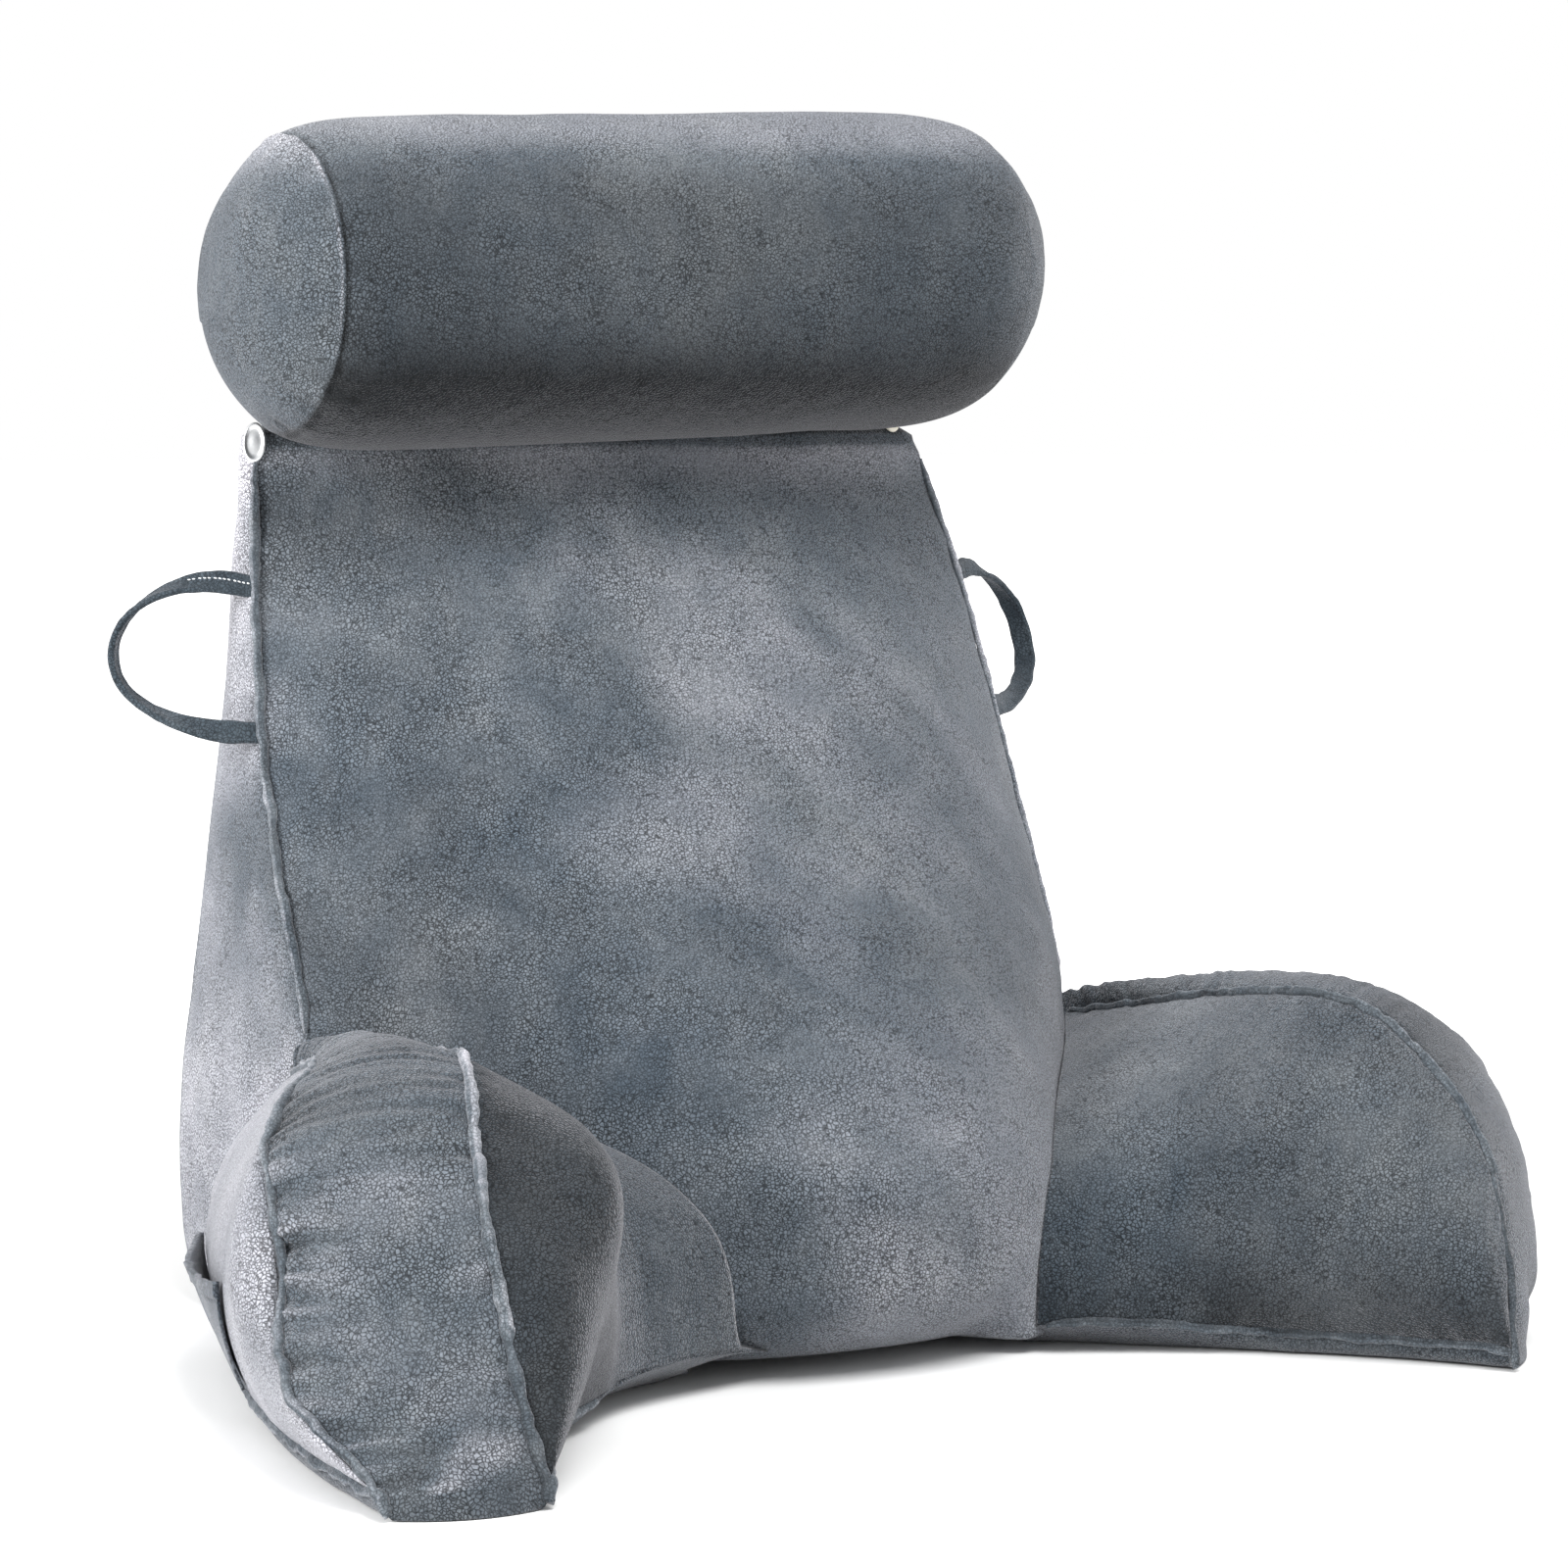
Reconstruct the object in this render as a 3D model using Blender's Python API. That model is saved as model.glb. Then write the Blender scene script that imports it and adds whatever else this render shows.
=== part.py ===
"""Reading pillow with arms: a plump back cushion, two D-ended arms, a round neck roll, two carrying
loops, a side pocket and narrow raised seams. Metres, +Z up, the sitter leans back towards +Y."""
import bpy
import numpy as np

CM = 0.01
GAP = 0.0004          # clear space between neighbouring pieces
WELT_R = 0.0021       # radius of the raised seams
WELT_SIDES = 6
WELT_LIFT = 2.5 * GAP                # how far the raised seams ride over the arm's edges
TOE_LIFT = (13 * GAP, 8 * GAP)       # the same at the tip of the arm, and one station before it
FRONT_WELT_SPAN = (16.2, 44.0)       # cm, heights of the raised seam beside the front panel
FRONT_WELT_WAY = (0.80, -0.60)       # the way it stands out of the corner, seen from above
SIGN = {"left": -1, "right": 1}
BASE_TUCK = 0.009     # how far the flat base sits inside the lowest seam
SEAM_LIFT = 1.1       # cm, height of the lowest seams over the floor

ROLL_X, ROLL_Y, ROLL_Z = -0.4, 7.2, 55.1   # cm, middle of the neck roll
ROLL_RISE = 0.034                   # how much its right end rides higher, per length
ROLL_HALF = 20.6                    # cm, seam to middle
ROLL_SEAM_R, ROLL_MID_R = 7.55, 8.65  # cm
ROLL_CAP = 3.2                      # cm, bulge of each end

# Back cushion by height, cm: edge = seam between front panel and side, mid = middle of the front
# panel, back = rear corner; crown = how squarely the front panel fills out towards its seams.
BODY_HEAD = ("z", "edge_x", "edge_y", "mid_y", "back_x", "back_y", "crown")
BODY = (
    (0.0, 21.6, 2.4, -11.0, 21.8, 15.4, 2.60),
    (1.1, 22.4, 1.4, -17.4, 22.5, 16.4, 2.50),
    (4.4, 22.7, 0.7, -20.8, 23.0, 16.8, 2.35),
    (8.9, 22.8, 0.4, -21.3, 23.1, 17.0, 2.15),
    (13.0, 22.8, 0.1, -19.0, 22.8, 17.0, 2.05),
    (17.5, 22.8, 0.9, -14.8, 22.3, 16.9, 2.25),
    (22.5, 22.8, 3.1, -9.3, 21.7, 16.7, 2.55),
    (28.0, 22.65, 5.6, -4.3, 21.1, 16.5, 2.65),
    (34.0, 22.2, 7.8, 0.4, 20.3, 16.3, 2.65),
    (39.5, 21.5, 9.7, 4.2, 19.6, 16.1, 2.65),
    (43.5, 20.8, 11.2, 7.1, 19.2, 15.9, 2.65),
    (46.6, 20.2, 12.2, 9.5, 18.9, 15.6, 2.65),
)
BODY_LEVELS = (0.0, 0.45, 1.1, 2.6, 4.4, 6.6, 8.9, 11.0, 13.0, 14.7, 16.4, 18.5, 20.5, 22.5, 25.2, 28.0,
               31.0, 34.0, 36.8, 39.5, 41.8, 44.0, 45.6, 46.6)   # cm, heights of its outlines
TOP_RINGS = ((0.86, 0.62), (0.60, 0.92))   # outlines over the top: share of the width, share of the dome
SIDE_BULGE = 0.8      # cm
BACK_BULGE = 1.6      # cm
TOP_DOME = 2.1        # cm, how far the top swells over its seams

# Right arm, cm: rows from the root to the front lower corner. s is the place along the arm; ti, to
# are the inner and outer seam over the top, bi, bo the inner and outer seam along the floor.
ARM_HEAD = ("s", "ti_x", "ti_y", "ti_z", "to_x", "to_y", "to_z", "bi_x", "bi_y", "bo_x", "bo_y")
ARM = (
    (0.00, 20.6, 3.6, 13.9, 20.9, 4.9, 13.0, 6.6, -13.4, 20.4, 9.0),
    (0.08, 22.8, -0.1, 14.7, 23.1, 1.6, 14.1, 9.0, -17.7, 24.4, 5.6),
    (0.25, 23.3, -7.0, 16.0, 25.0, -4.3, 15.5, 13.1, -20.4, 27.9, -1.5),
    (0.42, 23.8, -14.0, 17.2, 27.4, -10.4, 16.5, 16.8, -22.6, 30.5, -8.5),
    (0.56, 24.4, -20.5, 17.9, 30.1, -15.7, 16.8, 20.2, -25.0, 32.4, -14.6),
    (0.66, 25.6, -23.9, 17.3, 32.9, -18.9, 15.9, 22.6, -27.4, 33.5, -19.0),
    (0.75, 26.8, -26.8, 15.3, 34.6, -21.0, 14.2, 24.4, -29.5, 34.1, -22.0),
    (0.83, 27.6, -29.5, 12.7, 35.0, -22.8, 11.8, 25.6, -31.2, 34.3, -24.0),
    (0.90, 28.0, -31.5, 9.5, 35.2, -24.3, 8.8, 26.4, -32.4, 34.3, -25.4),
    (0.96, 27.9, -32.9, 5.3, 35.0, -25.7, 5.0, 27.0, -33.3, 34.2, -26.3),
    (1.00, 27.4, -33.9, 0.6, 34.0, -26.9, 0.6, 27.4, -33.9, 34.0, -26.9),
)
ROOT_END = 0.55       # place along the arm where the inner floor seam comes down beside the body
ROOT_LIFT = {"left": 1.5, "right": 0.8}    # cm, how far that seam is lifted at the body
ROOT_TUCK = {"left": 4.5, "right": 2.6}    # cm, how far the base sits behind it there
ROOT_PINCH = {"left": 1.6, "right": 0.0}   # cm, how far the crease between body and arm opens outwards
ROOT_REACH = {"left": 4.2, "right": 0.6}   # cm, how far the crease runs on across the body
ARM_STATIONS = (0.0, 0.08, 0.12, 0.18, 0.25, 0.335, 0.42, 0.49, 0.56, 0.61, 0.66, 0.705, 0.75, 0.79,
                0.83, 0.865, 0.90, 0.93, 0.96, 0.985, 1.0)
PANEL_ROWS = (0.0, 0.16, 0.33, 0.5, 0.66, 0.79, 0.89, 0.95, 1.0)
STRIP_ROWS = 6
INNER_BULGE = 3.5     # cm, swell of the inner panel
INNER_WAY = np.array([-0.66, -0.75, 0.0])   # the way it swells
SWELL_FROM, SWELL_FULL = 0.26, 0.68   # places along the arm where that swell starts and is full
OUTER_BULGE = 3.0     # cm, swell of the outer panel
OUTER_WAY = np.array([0.90, 0.30, 0.0])
LEAN_FROM, LEAN_TO = 4.6, 1.6   # how late the inner panel leans out, at the root and at the front
STRIP_CROWN = 1.3     # cm, swell of the strip between them
TOE = {"left": (2.6, 9.6), "right": (0.0, 0.0)}   # cm, how far the inner and the outer corner reach forward
TOE_HEIGHT = 9.0      # cm
TOE_FROM, TOE_CURL = 0.55, 0.12   # where the reach starts, and how far the very tip rounds back

# Carrying loops, cm, right side: points from the upper root round to the lower one, out = distance
# from the seam in the direction the loop stands.
LOOP_HEAD = ("out", "z")
LOOP = ((0.0, 0.0), (1.6, 0.3), (3.4, 0.1), (5.2, -0.6), (6.6, -1.7), (7.35, -3.2),
        (7.2, -4.7), (6.2, -5.9), (4.8, -6.7), (3.2, -7.2), (1.6, -7.5), (0.0, -7.5))
LOOP_TOP_Z = 38.8     # cm
LOOP_DIR = (0.80, 0.60)             # the way it stands off the body, seen from above
LOOP_ROOT = (0.25, 0.60)            # cm, its roots outside and behind the seam
STRAP_W, STRAP_T = 1.2, 0.34        # cm
STRAP_EDGE = ((-1, -0.45), (-0.8, -1), (0.8, -1), (1, -0.45),
              (1, 0.45), (0.8, 1), (-0.8, 1), (-1, 0.45))   # shares of half width, half thickness

POCKET_ALONG = (0.13, 0.56)         # along the arm's outer panel
POCKET_UP = (0.05, 0.42)            # share of the panel's height
POCKET_SAG = 0.06                   # how far the middle of its mouth hangs below the ends
POCKET_T = 0.0016
POCKET_HEM = (0.85, 0.9)            # where its hem starts, and how much thicker it is
POCKET_GAPE = 0.013                 # how far the middle of its mouth stands off the arm

CAP_W, CAP_T = 0.6, 0.22   # cm, half width and thickness of a press-stud cap
# cm: middle of the cap's back, the way it faces, its half height
STUD_LEFT = ((-20.48, 12.04, 46.25), (-0.52, -0.80, 0.25), 1.10)
STUD_RIGHT = ((18.47, 11.89, 47.23), (0.33, -0.85, 0.35), 0.55)


def column(head, rows, name):
    at = head.index(name)
    return np.array([row[at] for row in rows], float)


def eased(xs, ys, at):
    """Smooth curve through the points, without overshoot at flat steps."""
    xs, ys, at = np.asarray(xs, float), np.asarray(ys, float), np.atleast_1d(at).astype(float)
    step, rise = np.diff(xs), np.diff(ys)
    slope = rise / step
    tangent = np.empty_like(ys)
    tangent[0], tangent[-1] = slope[0], slope[-1]
    both = slope[:-1] * slope[1:]
    mean = 2 * both / np.where(np.abs(slope[:-1] + slope[1:]) < 1e-12, 1, slope[:-1] + slope[1:])
    tangent[1:-1] = np.where(both > 0, mean, 0)
    k = np.clip(np.searchsorted(xs, at) - 1, 0, len(step) - 1)
    t = (at - xs[k]) / step[k]
    return ((1 + 2 * t) * (1 - t) ** 2 * ys[k] + t * (1 - t) ** 2 * step[k] * tangent[k]
            + t * t * (3 - 2 * t) * ys[k + 1] - t * t * (1 - t) * step[k] * tangent[k + 1])


def material(name, colour, roughness, metallic=0.0):
    made = bpy.data.materials.new(name)
    made.use_nodes = True
    shader = made.node_tree.nodes["Principled BSDF"]
    shader.inputs["Base Color"].default_value = (*colour, 1)
    shader.inputs["Roughness"].default_value = roughness
    shader.inputs["Metallic"].default_value = metallic
    return made


def solid(name, points, faces, look=None, smooth=True):
    mesh = bpy.data.meshes.new(name)
    mesh.from_pydata([tuple(map(float, p)) for p in points], [], faces)
    mesh.validate()
    mesh.update()
    obj = bpy.data.objects.new(name, mesh)
    bpy.context.scene.collection.objects.link(obj)
    if look:
        mesh.materials.append(look)
    for face in mesh.polygons:
        face.use_smooth = smooth
    return obj


def tube_faces(rings, sides):
    """Triangles between rings of points, facing out where the rings are counted anticlockwise."""
    faces = []
    for i in range(rings - 1):
        a, b = i * sides, (i + 1) * sides
        for j in range(sides):
            k = (j + 1) % sides
            faces += [(a + j, a + k, b + k), (a + j, b + k, b + j)]
    return faces


def cap_rings(name, grid, look, ends=(None, None)):
    """Closed solid from stacked rings; each end is a point or, with None, one flat face."""
    rings, sides = grid.shape[:2]
    points = list(grid.reshape(-1, 3))
    faces = tube_faces(rings, sides)
    for end, first in ((ends[0], 0), (ends[1], (rings - 1) * sides)):
        ring = [first + j for j in range(sides)]
        if end is None:
            faces.append(tuple(ring[::-1] if first == 0 else ring))
            continue
        points.append(end)
        tip = len(points) - 1
        for j in range(sides):
            a, b = ring[j], ring[(j + 1) % sides]
            faces.append((tip, b, a) if first == 0 else (tip, a, b))
    return solid(name, points, faces, look)


# ---------------------------------------------------------------- back cushion

FRONT_COLS, SIDE_COLS, BACK_COLS = 16, 4, 8


def body_level(z):
    """One outline of the back cushion in cm, anticlockwise from the left front seam."""
    zs = column(BODY_HEAD, BODY, "z")
    edge_x, edge_y, mid_y, back_x, back_y, crown = (
        eased(zs, column(BODY_HEAD, BODY, n), min(z, zs[-1]))[0] for n in BODY_HEAD[1:])
    t = np.linspace(-1, 1, FRONT_COLS + 1)
    front = np.c_[edge_x * t, mid_y + (edge_y - mid_y) * np.abs(t) ** crown]
    u = np.linspace(0, 1, SIDE_COLS + 1)
    side = np.c_[edge_x + (back_x - edge_x) * u + SIDE_BULGE * 4 * u * (1 - u),
                 edge_y + (back_y - edge_y) * u]
    b = np.linspace(1, -1, BACK_COLS + 1)
    back = np.c_[back_x * b, back_y + BACK_BULGE * (1 - b ** 4)]
    return np.vstack([front[:-1], side[:-1], back[:-1], (side * (-1, 1))[::-1][:-1]])


def body_rings():
    rings = []
    for z in BODY_LEVELS:
        ring = body_level(z)
        rings.append(np.c_[ring, np.full(len(ring), z)])
    top = rings[-1]
    middle = top.mean(axis=0)
    for share, lift in TOP_RINGS:
        rings.append(middle + (top - middle) * share + (0, 0, TOP_DOME * lift))
    tip = middle + (0, 0, TOP_DOME)
    return np.array(rings), tip


def back_cushion(name, look=None):
    rings, tip = body_rings()
    return cap_rings(name, rings * CM, look, (None, tip * CM))


# ---------------------------------------------------------------- arms

def root_share(s):
    """1 where the arm meets the body, falling to 0 at ROOT_END."""
    return max(0.0, 1 - s / ROOT_END)


def arm_curves(side, s):
    """Seam points of one arm at the place s, in cm, on the right-hand side."""
    at = {n: eased(column(ARM_HEAD, ARM, "s"), column(ARM_HEAD, ARM, n), s)[0] for n in ARM_HEAD}
    ti = np.array([at["ti_x"], at["ti_y"], at["ti_z"]])
    to = np.array([at["to_x"], at["to_y"], at["to_z"]])
    root = root_share(s)
    pinch = ROOT_PINCH[side] * np.sin(np.pi * min(1, s / 0.6)) ** 2
    pinch -= ROOT_REACH[side] * max(0.0, 1 - s / 0.25)
    bi = np.array([at["bi_x"] + pinch, at["bi_y"],
                   SEAM_LIFT + ROOT_LIFT[side] * root if s < 1 else ti[2]])
    bo = np.array([at["bo_x"], at["bo_y"], SEAM_LIFT if s < 1 else to[2]])
    for pair, toe in (((ti, bi), TOE[side][0]), ((to, bo), TOE[side][1])):
        for p in pair:
            reach = np.clip((s - TOE_FROM) / (1 - TOE_FROM), 0, 1) ** 1.5
            curl = 1 - TOE_CURL * max(0, (s - 0.96) / 0.04) ** 2
            p += np.array([0.14, -1, 0]) * toe * max(0, 1 - p[2] / TOE_HEIGHT) ** 1.2 * reach * curl
    return ti, to, bi, bo


def arm_inner(side, s, v):
    ti, to, bi, bo = arm_curves(side, s)
    lean = LEAN_TO + (LEAN_FROM - LEAN_TO) * (1 - s) ** 1.2
    at = bi + (ti - bi) * v
    at[:2] = bi[:2] + (ti[:2] - bi[:2]) * v ** lean
    grown = min(1, max(0, (s - SWELL_FROM) / (SWELL_FULL - SWELL_FROM)))
    swell = INNER_BULGE * 4 * v * (1 - v) * (1 - s ** 6) * grown * grown * (3 - 2 * grown)
    return at + swell * INNER_WAY


def arm_outer(side, s, v):
    ti, to, bi, bo = arm_curves(side, s)
    at = bo + (to - bo) * v
    swell = OUTER_BULGE * 4 * v * (1 - v) * (1 - s ** 5)
    return at + swell * OUTER_WAY


def arm_strip(side, s, t):
    ti, to, _, _ = arm_curves(side, s)
    a, b = arm_curves(side, max(s - 0.02, 0)), arm_curves(side, min(s + 0.02, 1))
    along = (b[0] + b[1]) - (a[0] + a[1])
    up = np.cross(to - ti, along)
    up = -up / np.linalg.norm(up)
    return ti + (to - ti) * t + up * STRIP_CROWN * 4 * t * (1 - t) * (1 - 0.35 * s)


def arm_ring(side, s):
    """Closed loop round one arm: floor, inner panel up, strip across, outer panel down."""
    ti, to, bi, bo = arm_curves(side, s)
    inward = (bo - bi) * (1, 1, 0) / np.linalg.norm(bo - bi)
    tuck = BASE_TUCK / CM
    loop = [bi * (1, 1, 0) + inward * (tuck + ROOT_TUCK[side] * root_share(s))]
    loop += [arm_inner(side, s, v) for v in PANEL_ROWS]
    loop += [arm_strip(side, s, t) for t in np.linspace(0, 1, STRIP_ROWS + 1)[1:-1]]
    loop += [arm_outer(side, s, v) for v in PANEL_ROWS[::-1]]
    loop += [bo * (1, 1, 0) - inward * tuck]
    return np.array(loop)


def arm(name, side, look):
    rings = np.array([arm_ring(side, s) for s in ARM_STATIONS[:-1]])
    sides = rings.shape[1]
    points = list(rings.reshape(-1, 3) * CM)
    faces = tube_faces(len(rings), sides)
    faces.append(tuple(range(sides))[::-1])
    # the front lower edge, where panels, strip and base all meet
    first = (len(rings) - 1) * sides
    rows = len(PANEL_ROWS)
    edge = [arm_strip(side, 1.0, t) for t in np.linspace(0, 1, STRIP_ROWS + 1)]
    tip = len(points)
    points += [p * CM for p in edge]
    inner, outer = tip, tip + STRIP_ROWS
    for j in range(1, rows):
        faces.append((first + j, first + j + 1, inner))
    for j in range(STRIP_ROWS):
        a, b = first + rows + j, first + rows + j + 1
        faces.append((a, b, tip + j + 1, tip + j))
    for j in range(rows + STRIP_ROWS, 2 * rows + STRIP_ROWS - 1):
        faces.append((first + j, first + j + 1, outer))
    low_in, low_out = first, first + sides - 1
    faces.append((first, first + 1, inner))
    faces.append((low_out - 1, low_out, outer))
    faces.append((low_out, low_in, *[tip + j for j in range(STRIP_ROWS + 1)]))
    points = np.array(points) * (SIGN[side], 1, 1)
    if side == "right":
        faces = [face[::-1] for face in faces]
    return solid(name, points, faces, look)


# ---------------------------------------------------------------- neck roll

def roll_profile():
    """(x, radius) in cm from near the tip of the left end to the right one."""
    half = []
    for share in np.linspace(0, 1, 6)[1:]:
        turn = share * np.pi / 2
        half.append((ROLL_HALF + ROLL_CAP * np.cos(turn) ** 0.9, ROLL_SEAM_R * np.sin(turn) ** 0.8))
    for share in np.linspace(1, 0, 9)[1:]:
        half.append((ROLL_HALF * share,
                     ROLL_SEAM_R + (ROLL_MID_R - ROLL_SEAM_R) * (1 - share ** 4)))
    return [(-x, r) for x, r in half[:-1]] + half[::-1]


def neck_roll(name, look=None, sides=28):
    rings = []
    for x, r in roll_profile():
        turn = np.linspace(0, 2 * np.pi, sides, endpoint=False)
        high = ROLL_Z + ROLL_RISE * x
        rings.append(np.c_[np.full(sides, ROLL_X + x), ROLL_Y + r * np.cos(turn), high + r * np.sin(turn)])
    end = ROLL_HALF + ROLL_CAP
    tips = [np.array([ROLL_X + x, ROLL_Y, ROLL_Z + ROLL_RISE * x]) * CM for x in (-end, end)]
    return cap_rings(name, np.array(rings) * CM, look, tips)


# ---------------------------------------------------------------- swept pieces

def spread(path, count):
    """The path with its points evenly spaced, through a smooth curve."""
    path = np.asarray(path, float)
    run = np.r_[0, np.cumsum(np.linalg.norm(np.diff(path, axis=0), axis=1))]
    at = np.linspace(0, run[-1], count)
    return np.c_[tuple(eased(run, path[:, k], at) for k in range(3))]


def headings(path):
    ahead = np.gradient(path, axis=0)
    return ahead / np.linalg.norm(ahead, axis=1)[:, None]


def sweep(name, path, sections, look):
    """Solid swept along the path; sections[i] holds the ring of offsets at point i."""
    return cap_rings(name, path[:, None, :] + sections, look)


def welt(name, path, radius, look):
    ahead = headings(path)
    across = np.cross(ahead[0], (0, 0, 1.0) if abs(ahead[0][2]) < 0.9 else (1.0, 0, 0))
    rings = []
    for go in ahead:
        across = across - go * (across @ go)
        across /= np.linalg.norm(across)
        other = np.cross(go, across)
        turn = np.linspace(0, 2 * np.pi, WELT_SIDES, endpoint=False)[:, None]
        rings.append(radius * (np.cos(turn) * across + np.sin(turn) * other))
    return sweep(name, path, np.array(rings), look)


def front_welt_path(side):
    zs = column(BODY_HEAD, BODY, "z")
    path = []
    for z in np.linspace(*FRONT_WELT_SPAN, 26):
        x = eased(zs, column(BODY_HEAD, BODY, "edge_x"), z)[0]
        y = eased(zs, column(BODY_HEAD, BODY, "edge_y"), z)[0]
        out = (WELT_R + 2 * GAP) / CM
        path.append((SIGN[side] * (x + FRONT_WELT_WAY[0] * out), y + FRONT_WELT_WAY[1] * out, z))
    return np.array(path) * CM


def arm_welt_path(arm, inner):
    """Along the top seam of an arm, down its front, round the toe and back along the floor."""
    rows, sides = len(PANEL_ROWS), 2 * len(PANEL_ROWS) + STRIP_ROWS + 1
    stations = len(ARM_STATIONS) - 1
    top, low, toe = (rows, 1, 0) if inner else (rows + STRIP_ROWS, sides - 2, STRIP_ROWS)
    picks = [k * sides + top for k in range(2 if inner else 3, stations)] + [stations * sides + toe]
    picks += [k * sides + low for k in range(stations - 2, 1, -1)]
    tip = len(ARM_STATIONS) - (3 if inner else 4)   # place of the arm's tip in picks
    path = []
    for i, k in enumerate(picks):
        point = arm.data.vertices[k]
        lift = TOE_LIFT[abs(i - tip)] if abs(i - tip) < len(TOE_LIFT) else WELT_LIFT
        path.append(point.co + point.normal * (WELT_R + lift))
    return np.array(path)


def strap_path(side):
    zs = column(BODY_HEAD, BODY, "z")
    path = []
    for out, drop in LOOP:
        z = LOOP_TOP_Z + drop
        x = eased(zs, column(BODY_HEAD, BODY, "edge_x"), z)[0]
        y = eased(zs, column(BODY_HEAD, BODY, "edge_y"), z)[0]
        path.append((SIGN[side] * (x + LOOP_ROOT[0] + out * LOOP_DIR[0]),
                     y + LOOP_ROOT[1] + out * LOOP_DIR[1], z))
    return spread(np.array(path) * CM, 34)


def carrying_loop(name, side, look):
    """Flat strap, upright where it is sewn into the seam and lying across the bend."""
    path = strap_path(side)
    ahead = headings(path)
    flat = np.array([-SIGN[side] * LOOP_DIR[1], LOOP_DIR[0], 0.0])
    rings = []
    for i, go in enumerate(ahead):
        share = np.sin(np.pi * i / (len(path) - 1)) ** 1.2
        rise = np.array([0, 0, 1.0]) * (1 - share) + flat * share
        wide = rise - go * (rise @ go)
        wide /= np.linalg.norm(wide)
        thick = np.cross(go, wide)
        rings.append([(wide * a * STRAP_W + thick * b * STRAP_T) / 2 * CM for a, b in STRAP_EDGE])
    return sweep(name, path, np.array(rings), look)


# ---------------------------------------------------------------- side pocket and press studs

def side_pocket(name, look):
    """Patch on the outer panel of the left arm, sewn down at its ends and foot, its mouth standing off."""
    along = np.linspace(*POCKET_ALONG, 13)
    up = np.linspace(0, 1, 11)
    outer, inner = [], []
    for i, s in enumerate(along):
        middle = np.sin(np.pi * i / (len(along) - 1))
        mouth = POCKET_UP[1] - POCKET_SAG * middle
        for rise in up:
            v = POCKET_UP[0] + (mouth - POCKET_UP[0]) * rise
            here = arm_outer("left", s, v)
            ds = arm_outer("left", s + 0.01, v) - arm_outer("left", s - 0.01, v)
            dv = arm_outer("left", s, v + 0.01) - arm_outer("left", s, v - 0.01)
            out = np.cross(dv, ds)
            out /= np.linalg.norm(out)
            out *= np.sign(out[0])
            gape = POCKET_GAPE * middle ** 0.8 * rise ** 1.6
            thick = POCKET_T * (1.0 + POCKET_HEM[1] * (rise > POCKET_HEM[0]))
            near = here * CM + out * (2 * GAP + gape)
            inner.append(near)
            outer.append(near + out * thick)
    n, m = len(along), len(up)
    points = np.array(inner + outer) * (SIGN["left"], 1, 1)
    faces = []
    for i in range(n - 1):
        for j in range(m - 1):
            a, b, c, d = i * m + j, (i + 1) * m + j, (i + 1) * m + j + 1, i * m + j + 1
            faces.append((a, b, c, d))
            faces.append(tuple(n * m + k for k in (d, c, b, a)))
    rim = [i * m for i in range(n)] + [(n - 1) * m + j for j in range(1, m)]
    rim += [i * m + m - 1 for i in range(n - 2, -1, -1)] + [j for j in range(m - 2, 0, -1)]
    for a, b in zip(rim, rim[1:] + rim[:1]):
        faces.append((b, a, n * m + a, n * m + b))
    return solid(name, points, [face[::-1] for face in faces], look)


def stud_cap(name, centre, facing, tall, look):
    """Low oval dome with a flat back."""
    centre, facing = np.array(centre), np.array(facing) / np.linalg.norm(facing)
    right = np.cross((0, 0, 1.0), facing)
    right /= np.linalg.norm(right)
    up = np.cross(facing, right)
    rings = []
    for size, lift in ((1.0, 0.0), (1.0, 0.35), (0.8, 0.75), (0.45, 0.95)):
        turn = np.linspace(0, 2 * np.pi, 20, endpoint=False)[:, None]
        rings.append(centre + size * (np.cos(turn) * right * CAP_W + np.sin(turn) * up * tall)
                     + facing * lift * CAP_T)
    tip = (centre + facing * CAP_T) * CM
    return cap_rings(name, np.array(rings) * CM, look, (None, tip))


def swollen(cutter):
    """Helper that stands a little proud of the piece it copies."""
    normals = [vertex.normal.copy() for vertex in cutter.data.vertices]
    for vertex, normal in zip(cutter.data.vertices, normals):
        vertex.co += normal * 1.5 * GAP
    cutter.hide_render = True
    cutter.display_type = "WIRE"
    return cutter


def cut_clear(obj, cutter):
    """Takes the cutter out of the piece, so that sewn neighbours lie close without sharing space."""
    cut = obj.modifiers.new("clear of " + cutter.name, "BOOLEAN")
    cut.operation, cut.solver, cut.object = "DIFFERENCE", "EXACT", cutter


for old in list(bpy.data.objects):
    bpy.data.objects.remove(old)

velvet = material("slate_velvet", (0.105, 0.13, 0.155), 0.85)
welt_velvet = material("seam_velvet", (0.09, 0.112, 0.135), 0.8)
strap_velvet = material("strap_velvet", (0.07, 0.09, 0.11), 0.8)
stud_metal = material("stud_metal", (0.75, 0.76, 0.78), 0.3, 0.9)
stud_cream = material("stud_cream", (0.72, 0.68, 0.58), 0.5)

body = back_cushion("back_cushion", velvet)
roll = neck_roll("neck_roll", velvet)
roll_space = swollen(neck_roll("neck_roll_space"))
body_space = swollen(back_cushion("back_cushion_space"))
cut_clear(body, roll_space)
for side in ("left", "right"):
    padded_arm = arm("arm_" + side, side, velvet)
    cut_clear(padded_arm, body_space)
    carrying_loop("carrying_loop_" + side, side, strap_velvet)
    welt("front_welt_" + side, front_welt_path(side), WELT_R, welt_velvet)
    for place, inner in (("inner", True), ("outer", False)):
        welt("arm_" + place + "_welt_" + side, arm_welt_path(padded_arm, inner), WELT_R, welt_velvet)
side_pocket("side_pocket", velvet)
stud_cap("press_stud_left", *STUD_LEFT, stud_metal)
stud_cap("press_stud_right", *STUD_RIGHT, stud_cream)
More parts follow.
